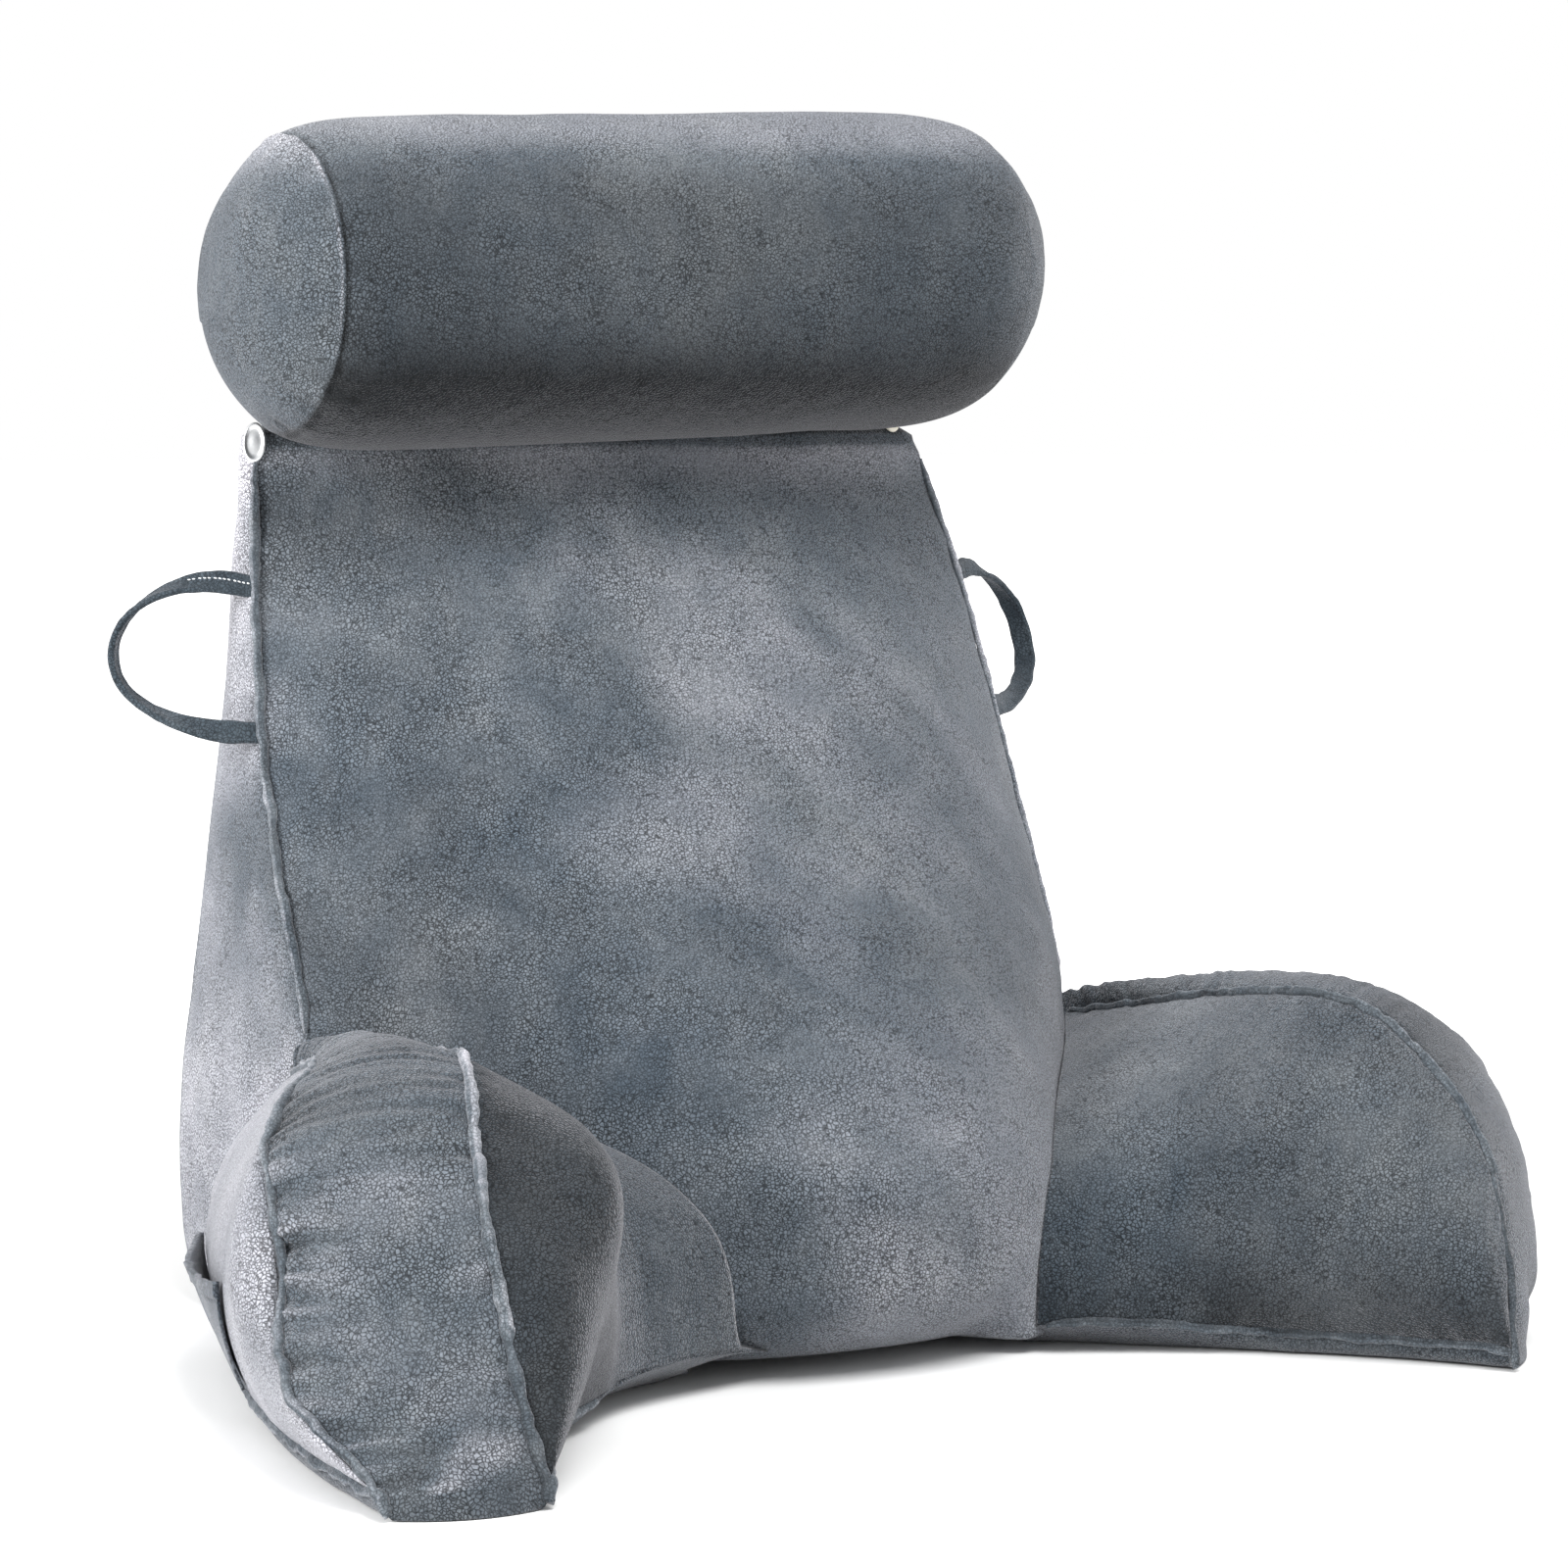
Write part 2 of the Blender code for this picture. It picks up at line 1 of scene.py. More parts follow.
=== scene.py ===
"""Looks of the reading pillow: velvet cushions with puckered raised seams, carrying loops, a gaping side
pocket and press studs, on a pale floor. Lengths in the tables are centimetres; meshes are in metres."""
from math import radians
import bpy
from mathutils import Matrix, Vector
import numpy as np


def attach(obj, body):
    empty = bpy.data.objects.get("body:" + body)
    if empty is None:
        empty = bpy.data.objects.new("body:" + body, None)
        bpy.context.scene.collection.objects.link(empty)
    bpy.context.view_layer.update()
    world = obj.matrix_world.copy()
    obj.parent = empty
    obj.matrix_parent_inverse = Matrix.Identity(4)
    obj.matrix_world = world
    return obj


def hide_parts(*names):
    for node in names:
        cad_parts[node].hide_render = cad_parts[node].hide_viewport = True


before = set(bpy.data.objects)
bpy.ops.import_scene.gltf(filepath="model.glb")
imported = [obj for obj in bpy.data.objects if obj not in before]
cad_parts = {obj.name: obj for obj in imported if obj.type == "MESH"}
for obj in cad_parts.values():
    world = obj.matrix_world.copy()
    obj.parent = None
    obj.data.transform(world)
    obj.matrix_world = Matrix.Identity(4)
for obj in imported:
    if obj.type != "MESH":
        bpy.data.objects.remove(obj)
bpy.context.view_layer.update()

CM = 0.01


def by_side(left, right):
    return {"left": left, "right": right}


SIGN = by_side(-1, 1)
DENSITY = 1.0

# -------- sizes, as in the solids

ROLL_X, ROLL_Y, ROLL_Z, ROLL_RISE = -0.4, 7.2, 55.1, 0.034
# half the length between the seams, radius at the left and right seam and in the middle, depth of an end
ROLL_HALF, ROLL_SEAMS_R, ROLL_MID_R, ROLL_CAP = 20.6, (7.7, 7.5), 8.75, 3.5
CAP_FULL, BARREL_FULL = 2.8, 10.0    # how full the ends and the barrel are: 2 is round, more is squarer

BODY_HEAD = ("z", "edge_x", "edge_y", "mid_y", "back_x", "back_y", "crown")
BODY = (
    (0.0, 21.6, 2.4, -11.0, 21.8, 15.4, 2.60),
    (1.1, 22.4, 1.4, -17.4, 22.5, 16.4, 2.50),
    (4.4, 22.7, 0.7, -20.8, 23.0, 16.8, 2.35),
    (8.9, 22.8, 0.4, -21.3, 23.1, 17.0, 2.15),
    (13.0, 22.8, 0.1, -19.0, 22.8, 17.0, 2.05),
    (17.5, 22.8, 0.9, -14.8, 22.3, 16.9, 2.25),
    (22.5, 22.8, 3.1, -9.3, 21.7, 16.7, 2.55),
    (28.0, 22.65, 5.6, -4.3, 21.1, 16.5, 2.65),
    (34.0, 22.2, 7.8, 0.4, 20.3, 16.3, 2.65),
    (39.5, 21.5, 9.7, 4.2, 19.6, 16.1, 2.65),
    (43.5, 20.8, 11.2, 7.1, 19.2, 15.9, 2.65),
    (46.6, 20.2, 12.2, 9.5, 18.9, 15.6, 2.65),
)
SIDE_BULGE, BACK_BULGE, TOP_DOME, DOME_FULL, BODY_MIDDLE = 0.8, 1.6, 2.1, 5.5, (0, 3, 24)
# below that height the front panel stands straight beside the arms, from and to these shares of its half width
STRAIGHT_Z, STRAIGHT_EDGE, STRAIGHT_END = 4.4, 0.8, (0.975, 1.0)
STRAIGHT_LEFT, STRAIGHT_RIGHT = (0.50, 0.75), (0.25, 0.42)

ARM_HEAD = ("s", "ti_x", "ti_y", "ti_z", "to_x", "to_y", "to_z", "bi_x", "bi_y", "bo_x", "bo_y")
ARM = (
    (0.00, 20.6, 3.6, 13.9, 20.9, 4.9, 13.0, 6.6, -13.4, 20.4, 9.0),
    (0.08, 22.8, -0.1, 14.7, 23.1, 1.6, 14.1, 9.0, -17.7, 24.4, 5.6),
    (0.25, 23.3, -7.0, 16.0, 25.0, -4.3, 15.5, 13.1, -20.4, 27.9, -1.5),
    (0.42, 23.8, -14.0, 17.2, 27.4, -10.4, 16.5, 16.8, -22.6, 30.5, -8.5),
    (0.56, 24.4, -20.5, 17.9, 30.1, -15.7, 16.8, 20.2, -25.0, 32.4, -14.6),
    (0.66, 25.6, -23.9, 17.3, 32.9, -18.9, 15.9, 22.6, -27.4, 33.5, -19.0),
    (0.75, 26.8, -26.8, 15.3, 34.6, -21.0, 14.2, 24.4, -29.5, 34.1, -22.0),
    (0.83, 27.6, -29.5, 12.7, 35.0, -22.8, 11.8, 25.6, -31.2, 34.3, -24.0),
    (0.90, 28.0, -31.5, 9.5, 35.2, -24.3, 8.8, 26.4, -32.4, 34.3, -25.4),
    (0.96, 27.9, -32.9, 5.3, 35.0, -25.7, 5.0, 27.0, -33.3, 34.2, -26.3),
    (1.00, 27.4, -33.9, 0.6, 34.0, -26.9, 0.6, 27.4, -33.9, 34.0, -26.9),
)
SEAM_LIFT, BASE_TUCK = 1.1, 0.9
# the root, at the back cushion: how far its foot is lifted, tucked in, pinched and reaches, and where that ends
ROOT_END, ROOT_PINCH_END, ROOT_REACH_END, ROOT_LIFT_FULL = 0.55, 0.6, 0.25, 0.2
ROOT_LIFT = by_side(1.5, 0.8)
ROOT_TUCK = by_side(4.5, 2.6)
ROOT_PINCH = by_side(1.6, 0.0)
ROOT_REACH = by_side(4.2, 0.6)
INNER_PINCH, INNER_PINCH_AT = by_side(1.3, 0.0), (0.60, 0.13)
INNER_BULGE, INNER_WAY = 3.5, np.array([-0.66, -0.75, 0.0])
OUTER_BULGE, OUTER_WAY = 3.0, np.array([0.90, 0.30, 0.0])
SWELL_FROM, SWELL_FULL = 0.26, 0.68
LEAN_FROM, LEAN_TO = 4.6, 1.6
INNER_FULL, INNER_FULL_AT = by_side(2.9, 0.0), (0.62, 0.13)   # place and spread along the arm
STRIP_CROWN, STRIP_FLATTER = 1.3, 0.35
# the toe: how far its inner and outer edge run out, how steep it meets the floor, how it curls and widens
TOE = by_side((2.6, 9.6), (0.0, 0.0))
TOE_HEIGHT, TOE_FROM, TOE_CURL, TOE_END, TOE_DRAW = 9.0, 0.55, 0.12, 0.9995, 0.10
TOE_SLOPE = by_side(50.0, 78.0)
TOE_WIDEN, WIDE_FROM, WIDE_TO, CURL_FROM = by_side(1.7, 0.0), (0.89, 0.97), (0.96, 1.0), 0.96
TOE_WAY, SIDEWAYS = np.array([0.14, -1, 0]), np.array([0.87, 0.50, 0])
CORNER_IN, CORNER_Z, CORNER_AT = by_side(0.0, 1.5), 6.0, (0.80, 0.94)
CLEAR = 0.06    # how far the arms' roots stay off the back cushion

LOOP = ((0.0, 0.0), (1.6, 0.3), (3.4, 0.1), (5.2, -0.6), (6.6, -1.7), (7.35, -3.2),
        (7.2, -4.7), (6.2, -5.9), (4.8, -6.7), (3.2, -7.2), (1.6, -7.5), (0.0, -7.5))
LOOP_TOP_Z, LOOP_DIR, LOOP_ROOT = 38.8, (0.80, 0.60), (0.25, 0.60)
STRAP_W, STRAP_T = 1.2, 0.40
STITCHES, STITCH_FROM, STITCH_STEP, STITCH_HALF, STITCH_R, STITCH_RINGS = 13, 0.5, 0.27, 0.095, 0.042, 7

POCKET_ALONG, POCKET_UP, POCKET_SAG = (0.13, 0.56), (0.05, 0.38), 0.05
POCKET_T, POCKET_GAPE, POCKET_OFF, HEM_AT = 0.16, 0.75, 0.09, 0.83

STUD_LEFT = ((-20.48, 12.04, 46.25), (-0.52, -0.80, 0.25), 1.10)
STUD_RIGHT = ((18.47, 11.89, 47.23), (0.33, -0.85, 0.35), 0.55)
CAP_W, CAP_T = 0.6, 0.22
# outlines of the two caps, as shares of their size and thickness
CAP_LEFT = ((0.97, 0.0), (1.0, 0.25), (1.0, 0.6), (0.95, 0.92), (0.88, 1.0), (0.80, 0.90), (0.74, 0.68),
            (0.55, 0.62), (0.35, 0.70), (0.12, 0.78))
CAP_RIGHT = ((0.97, 0.0), (1.0, 0.3), (0.97, 0.7), (0.85, 0.95), (0.6, 1.0), (0.12, 1.0))

# -------- folds, nap, and painted light and shade

# puckers beside the arms' seams: panel, seam, height, pitch, reach, seed
ARM_PUCKERS = (
    ("inner", "ti", 0.17, 1.15, 1.5, 51), ("inner", "bi", 0.12, 1.3, 1.4, 54),
    ("outer", "to", 0.17, 1.2, 1.8, 61), ("outer", "bo", 0.10, 1.3, 1.4, 64),
    ("strip", "ti", 0.20, 0.85, 1.7, 71), ("strip", "to", 0.55, 0.85, 2.4, 74))
RAGGED = by_side(1.0, 0.55)    # how strongly they cross the strip
# height, pitch and reach: on the front panel and beside it; on the roll's barrel and its ends
BODY_PUCKERS, ROLL_PUCKERS = ((0.16, 0.20), (1.7, 1.4), (2.2, 3.6)), ((0.11, 0.12), (1.0, 0.9), (2.0, 2.2))

# the value is above 0 where the cover is painted lighter and below 0 where it is painted darker: partly nap, partly
# painted light and shade. Rows: amount, then where it comes in, from none to full: by x, or on the arms by the share
# of their length, and by height
# front panel, partly nap and partly painted light and shade: lighter near the top and low down from the middle
# rightwards, darker to the right, lower down and at the lower left, with painted shade at the upper left beneath the
# roll
FRONT_NAP_LIGHT_AND_SHADE = (
    (0.42,), (-0.12, (2, 14)), (-0.25, None, (26, 18)), (0.45, None, (41, 46)),
    (0.25, None, (43, 46)), (0.42, (-9, -1), (22, 12)), (-0.35, (-5, -12), (39, 44)), (-0.20, (-12, -17), (30, 24)))
# side panels, partly nap and partly painted light: painted lighter all over, as the left one is lit from the left, and
# more so high up and low down
GUSSET_NAP_AND_LIGHT = ((0.62,), (0.85, None, (24, 40)), (0.45, None, (19, 11)), (0.35, None, (36, 42)))
TOP_SHADOW, TOP_SHADOW_Z = -1.1, (45.8, 46.4)    # painted shadow of the neck roll on the top edge and the dome
# arms, partly nap and partly painted light and shade: the inner panels painted darker towards the front, where the
# left one faces away from the light, the right one also towards the floor; the strip painted darker near the floor,
# and darker higher up and, on the right arm, at its front
INNER_NAP_AND_SHADE = {"left": ((-0.88, (0.30, 0.45)),),
             "right": ((0.25,), (-0.35, (0.30, 0.45)), (-0.7, None, (7, 1)))}
STRIP_NAP_AND_SHADE = {"left": ((0.36,), (-0.05, None, (2.2, 0.2)), (-0.40, None, (13, 16)))}
STRIP_NAP_AND_SHADE["right"] = (*STRIP_NAP_AND_SHADE["left"], (-0.55, (0.55, 0.75)))
# outer panels: painted light, lighter all over as the left one is lit from the left, more so near the floor
OUTER_NAP_AND_LIGHT = ((1.0,), (0.3, None, (6, 1)))
# painted light and shade on the neck roll, by the height above its middle: lighter on top and darker underneath,
# for all of it and for its barrel; then its ends
ROLL_LIGHT_AND_SHADE = ((0.35, None, (3, 8)), (0.70, None, (4, 8)), (-0.6, None, (-7, -8.5)))
BARREL_SHADE = ((-0.36,), (-1.15, None, (-2, -8)))
END_LIGHT_AND_SHADE, END_SEAM = (0.15, -0.25), (1.0, 0.2)    # left, right: the left end painted lighter and the right end darker, as lit from the left; and how much their seam shows

# raised seams: radius, how rough and how light they are; the arms' begin with their seed
FRONT_SEAM = by_side((0.25, 1.2, 0.0), (0.17, 0.4, 0.5))
ARM_SEAM = {("left", "inner"): (104, 0.29, 1.0, 0.0), ("left", "outer"): (101, 0.25, 2.0, 0.0),
            ("right", "inner"): (94, 0.25, 1.0, -0.35), ("right", "outer"): (91, 0.20, 1.0, -0.35)}
SEAM_HIGHLIGHT, SEAM_HIGHLIGHT_Z = 0.5, (10, 15)    # painted highlight: the left arm's inner seam is painted lighter higher up
FRONT_SEAM_Z, FRONT_SEAM_OUT = (16.4, 45.2), by_side(0.08, -0.04)
SEAM_TAPER, TAPER_RUN, SEAM_SIDES = 0.35, 1.2, 18
# where the arms' seams begin and end, past the root, and how far they stand off the cover and the floor
TOP_BEGINS, LOW_ENDS, LEFT_INNER_ENDS, TOP_OFF, LOW_OFF, FLOOR_OFF = 0.012, 0.006, 0.45, 0.10, 0.06, 0.30

# -------- velvet

PEBBLES, CREASE_EDGE = 560.0, 0.22          # cells of the crackle per metre; the share of a cell its creases take
CRACKLE, FLECKS, SPECKS = 2.1, 1.9, 0.9     # how far each one changes the tone
NAP_AND_LIGHT_REACH, DARKEST_NAP_AND_SHADE = 0.75, 0.14         # how far the painted light, painted shade and nap change the tone, and its lower limit
LIT_TINT, LIT_TINT_SHARE, LIT_TINT_FROM = (0.35, 0.335, 0.36, 1), 0.80, (0.25, 2.0)


# -------- curves and noise

def column(head, rows, name):
    at = head.index(name)
    return np.array([row[at] for row in rows], float)


def eased(xs, ys, at):
    """Smooth curve through the points, without overshoot at flat steps."""
    xs, ys, at = np.asarray(xs, float), np.asarray(ys, float), np.asarray(at, float)
    step, rise = np.diff(xs), np.diff(ys)
    slope = rise / step
    both, total = slope[:-1] * slope[1:], slope[:-1] + slope[1:]
    mean = 2 * both / np.where(np.abs(total) < 1e-12, 1, total)
    tangent = np.r_[slope[0], np.where(both > 0, mean, 0), slope[-1]]
    k = np.clip(np.searchsorted(xs, at) - 1, 0, len(step) - 1)
    t = (at - xs[k]) / step[k]
    return ((1 + 2 * t) * (1 - t) ** 2 * ys[k] + t * (1 - t) ** 2 * step[k] * tangent[k]
            + t * t * (3 - 2 * t) * ys[k + 1] - t * t * (1 - t) * step[k] * tangent[k + 1])


def ramp(x, begin, end):
    """Rises smoothly from 0 at begin to 1 at end, which may lie on either side of it."""
    x = np.clip((x - begin) / (end - begin), 0, 1)
    return x * x * (3 - 2 * x)


def bell(x, centre, width):
    return np.exp(-((x - centre) / width) ** 2)


def unit(vectors):
    return vectors / np.maximum(np.linalg.norm(vectors, axis=-1, keepdims=True), 1e-9)


def hashed(cell, seed):
    h = (cell[..., 0] * 0x9E3779B1 + cell[..., 1] * 0x85EBCA77 + cell[..., 2] * 0xC2B2AE3D
         + seed * 0x27D4EB2F) & 0xFFFFFFFF
    for shift, factor in ((15, 0x2C1B3C6D), (12, 0x297A2D39)):
        h ^= h >> shift
        h = (h * factor) & 0xFFFFFFFF
    return (h ^ (h >> 15)) / 2147483648.0 - 1.0


def noise(points, seed):
    """Smooth noise from -1 to 1."""
    base = np.floor(points).astype(np.int64)
    f = points - base
    f = f * f * (3 - 2 * f)
    total = 0.0
    for corner in np.ndindex(2, 2, 2):
        share = np.prod(np.where(np.array(corner, bool), f, 1 - f), axis=-1)
        total = total + share * hashed(base + np.array(corner), seed)
    return total


def ripple(seed, *parts):
    """Noise over up to three coordinates."""
    return noise(np.stack(np.broadcast_arrays(*parts, *[0.0] * (3 - len(parts))), -1), seed)


def lumps(points, size, seed):
    """Soft swellings of about that size, in cm."""
    return 0.7 * noise(points / size, seed) + 0.35 * noise(points / size * 2.3, seed + 1)


def puckers(along, away, pitch, reach, seed):
    """Small folds that leave a seam at right angles and die out within reach. All in cm."""
    warp = ripple(seed + 7, along / (4 * pitch), away / reach, 3.5)
    fold = ripple(seed, (along + 0.8 * pitch * warp) / pitch, away / (3 * reach))
    fine = ripple(seed + 1, (along + 0.4 * pitch * warp) / pitch * 2.3, away / (2 * reach))
    strength = 0.65 + 0.35 * ripple(seed + 2, along / (6 * pitch), 0.0, 0.5)
    return (0.75 * fold + 0.4 * fine) * strength * np.exp(-(away / reach) ** 1.3)


def nap_and_light_of(rows, place, height):
    """The sum of a table of pile tone, painted light and painted shade."""
    total = 0.0
    for amount, *spans in rows:
        for at, span in zip((place, height), spans):
            amount = amount * ramp(at, *span) if span else amount
        total = total + amount
    return total


# -------- mesh helpers

def mesh_object(name, points, quads, looks, tris=()):
    mesh = bpy.data.meshes.new(name)
    faces = [tuple(map(int, face)) for face in list(quads) + list(tris)]
    mesh.from_pydata([tuple(p) for p in (np.asarray(points) * CM).tolist()], [], faces)
    mesh.validate()
    mesh.update()
    obj = bpy.data.objects.new(name, mesh)
    bpy.context.scene.collection.objects.link(obj)
    mesh.materials.append(looks)
    mesh.polygons.foreach_set("use_smooth", [True] * len(mesh.polygons))
    return obj


def paint(obj, nap_and_painted_light):
    """How light the cover is painted at each point, for its pile and for painted light and shade: above 0 lighter,
    below 0 darker. The velvet reads it.
    """
    made = obj.data.attributes.new("nap_and_painted_light", "FLOAT", "POINT")
    made.data.foreach_set("value", np.asarray(nap_and_painted_light, np.float32).ravel())


def ring_quads(rings, sides):
    i, j = np.meshgrid(np.arange(rings - 1), np.arange(sides), indexing="ij")
    k = (j + 1) % sides
    return np.stack([i * sides + j, i * sides + k, (i + 1) * sides + k, (i + 1) * sides + j], -1).reshape(-1, 4)


def facing_out(obj):
    """Turns the faces round if they point inwards."""
    mesh = obj.data
    points = np.empty(len(mesh.vertices) * 3)
    mesh.vertices.foreach_get("co", points)
    mesh.calc_loop_triangles()
    tri = np.empty(len(mesh.loop_triangles) * 3, np.int32)
    mesh.loop_triangles.foreach_get("vertices", tri)
    if np.linalg.det(points.reshape(-1, 3)[tri.reshape(-1, 3)]).sum() < 0:
        mesh.flip_normals()
    return obj


def outward_normals(grid, middle):
    """Unit normals of a grid of rings, away from its middle."""
    around = np.roll(grid, -1, axis=1) - np.roll(grid, 1, axis=1)
    normal = unit(np.cross(around, np.gradient(grid, axis=0)))
    return normal * np.sign((normal * (grid - middle)).sum(-1).mean())


def relaxed(grid, weight, rounds):
    """The rings' points drawn towards the middle of their four neighbours, each by its weight."""
    for _ in range(rounds):
        near = np.roll(grid, 1, 1)[1:-1] + np.roll(grid, -1, 1)[1:-1] + grid[2:] + grid[:-2]
        moved = grid[1:-1] + (near / 4 - grid[1:-1]) * weight[1:-1, :, None]
        grid = np.concatenate([grid[:1], moved, grid[-1:]])
    return grid


def run_of(grid, axis):
    """Length run along that axis of a grid, in cm."""
    step = np.linalg.norm(np.diff(grid, axis=axis), axis=-1)
    zero = np.zeros_like(np.take(step, [0], axis=axis))
    return np.concatenate([zero, np.cumsum(step, axis=axis)], axis=axis)


def capped(name, grid, looks, nap_and_painted_light=None):
    """Closed solid from a grid of rings, each end drawn to its middle."""
    rings, sides = grid.shape[:2]
    points = np.concatenate([grid.reshape(-1, 3), grid[0].mean(0)[None], grid[-1].mean(0)[None]])
    a, b = rings * sides, rings * sides + 1
    last = (rings - 1) * sides
    tris = [((j + 1) % sides, j, a) for j in range(sides)]
    tris += [(last + j, last + (j + 1) % sides, b) for j in range(sides)]
    obj = facing_out(mesh_object(name, points, ring_quads(rings, sides), looks, tris))
    if nap_and_painted_light is not None:
        paint(obj, np.r_[nap_and_painted_light.ravel(), nap_and_painted_light[0].mean(), nap_and_painted_light[-1].mean()])
    return obj


def spread(path, count):
    """That many points, evenly spaced along the path."""
    path = np.asarray(path, float)
    run = run_of(path, 0)
    at = np.linspace(0, run[-1], count)
    return np.stack([eased(run, path[:, k], at) for k in range(3)], -1)


def full_turn(count):
    return np.linspace(0, 2 * np.pi, count, endpoint=False)


def headings(path):
    return unit(np.gradient(path, axis=0))


def settle(piece, node):
    """The piece stands for the node and moves with it."""
    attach(piece, "root")
    if node:
        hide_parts(node)


# -------- materials

def nodes_of(name):
    made = bpy.data.materials.new(name)
    made.use_nodes = True
    tree = made.node_tree
    shader = tree.nodes["Principled BSDF"]

    def add(kind, **values):
        node = tree.nodes.new(kind)
        for key, value in values.items():
            if key in node.inputs:
                node.inputs[key].default_value = value
            else:
                setattr(node, key, value)
        return node

    return made, tree, shader, add


def put(node, values):
    for key, value in values.items():
        node.inputs[key].default_value = value


def velvet(name, dark, mid, light, grain=1.0, patches=7.0, seed=0.0, sheen=0.55):
    """Short-pile velvet: mottled tone, pebbled crackle, fine pile and a soft sheen, lightened and darkened by the
    painted light and shade in its point attribute.
    """
    made, tree, shader, add = nodes_of(name)
    link = tree.links.new
    where = add("ShaderNodeTexCoord")
    place = add("ShaderNodeMapping", Location=(seed, seed * 0.7, seed * 1.3))
    link(where.outputs["Object"], place.inputs["Vector"])
    at = place.outputs["Vector"]

    def noise_at(scale, detail, rough, distortion=0.0, source=at):
        node = add("ShaderNodeTexNoise", Scale=scale, Detail=detail, Roughness=rough, Distortion=distortion)
        link(source, node.inputs["Vector"])
        return node.outputs["Fac"]

    def maths(kind, a, b):
        node = add("ShaderNodeMath", operation=kind)
        for socket, value in zip(node.inputs, (a, b)):
            if isinstance(value, (int, float)):
                socket.default_value = value
            else:
                link(value, socket)
        return node.outputs[0]

    def mixed(*parts, start=0.0):
        """The start and each value times its share."""
        for value, share in parts:
            start = maths("ADD", maths("MULTIPLY", value, share), start)
        return start

    def between(value, low, high, top=1.0):
        node = add("ShaderNodeMapRange", **{"From Min": low, "From Max": high, "To Max": top})
        link(value, node.inputs["Value"])
        return node.outputs["Result"]

    # nap: broad patches, smaller clouds and slanting streaks
    slant = add("ShaderNodeMapping", Rotation=(0.3, 0.5, 0.4), Scale=(1.0, 1.0, 0.35))
    link(at, slant.inputs["Vector"])
    mottle = mixed((noise_at(patches, 3.0, 0.5, 0.3), 0.50), (noise_at(patches * 3.4, 5.0, 0.62, 0.8), 0.28),
                   (noise_at(patches * 9, 4.0, 0.65, 0.4, slant.outputs["Vector"]), 0.22))
    tones = add("ShaderNodeValToRGB")
    stops = tones.color_ramp.elements
    stops[0].position, stops[0].color = 0.36, (*dark, 1)
    stops[1].position, stops[1].color = 0.64, (*light, 1)
    stops.new(0.50).color = (*mid, 1)
    link(mottle, tones.inputs["Fac"])

    # pebbled crackle on a slightly warped ground, with pale specks of pile
    warp = add("ShaderNodeTexNoise", Scale=70.0, Detail=2.0)
    link(at, warp.inputs["Vector"])
    shift = add("ShaderNodeVectorMath", operation="SCALE", Scale=0.006)
    link(warp.outputs["Color"], shift.inputs[0])
    moved = add("ShaderNodeVectorMath", operation="ADD")
    link(at, moved.inputs[0])
    link(shift.outputs["Vector"], moved.inputs[1])
    cells = add("ShaderNodeTexVoronoi", feature="DISTANCE_TO_EDGE", Scale=PEBBLES)
    link(moved.outputs["Vector"], cells.inputs["Vector"])
    crease = between(cells.outputs["Distance"], 0.0, CREASE_EDGE)
    flecks = noise_at(1100.0, 3.0, 0.7)
    strength = maths("MULTIPLY", noise_at(28.0, 2.0, 0.5), CRACKLE * grain)
    tone = mixed((maths("SUBTRACT", crease, 0.70), strength), (maths("SUBTRACT", flecks, 0.5), FLECKS * grain),
                 (between(flecks, 0.60, 0.80), SPECKS * grain), start=1.0)
    # the point attribute: nap with painted light and painted shade
    nap_and_light = add("ShaderNodeAttribute", attribute_name="nap_and_painted_light").outputs["Fac"]
    lift = maths("MAXIMUM", mixed((nap_and_light, NAP_AND_LIGHT_REACH), start=1.0), DARKEST_NAP_AND_SHADE)
    # where the cover is painted lightest, on the faces painted as lit and on painted highlights, the pile turns a
    # paler, slightly lilac grey
    lit_tinted = add("ShaderNodeMix", data_type="RGBA")
    link(between(nap_and_light, *LIT_TINT_FROM, LIT_TINT_SHARE), lit_tinted.inputs[0])
    link(tones.outputs["Color"], lit_tinted.inputs[6])
    lit_tinted.inputs[7].default_value = LIT_TINT
    coloured = add("ShaderNodeMix", data_type="RGBA", blend_type="MULTIPLY")
    coloured.inputs[0].default_value = 1.0
    link(lit_tinted.outputs[2], coloured.inputs[6])
    link(maths("MULTIPLY", maths("MAXIMUM", tone, 0.25), lift), coloured.inputs[7])
    link(coloured.outputs[2], shader.inputs["Base Color"])

    height = mixed((crease, 0.8), (flecks, 0.6), (noise_at(140.0, 4.0, 0.6), 1.2))
    bump = add("ShaderNodeBump", Strength=0.6 * grain, Distance=0.0008)
    link(height, bump.inputs["Height"])
    link(bump.outputs["Normal"], shader.inputs["Normal"])
    put(shader, {"Roughness": 0.85, "Specular IOR Level": 0.2, "Sheen Weight": sheen, "Sheen Roughness": 0.35,
                 "Sheen Tint": (0.88, 0.88, 0.93, 1)})
    return made


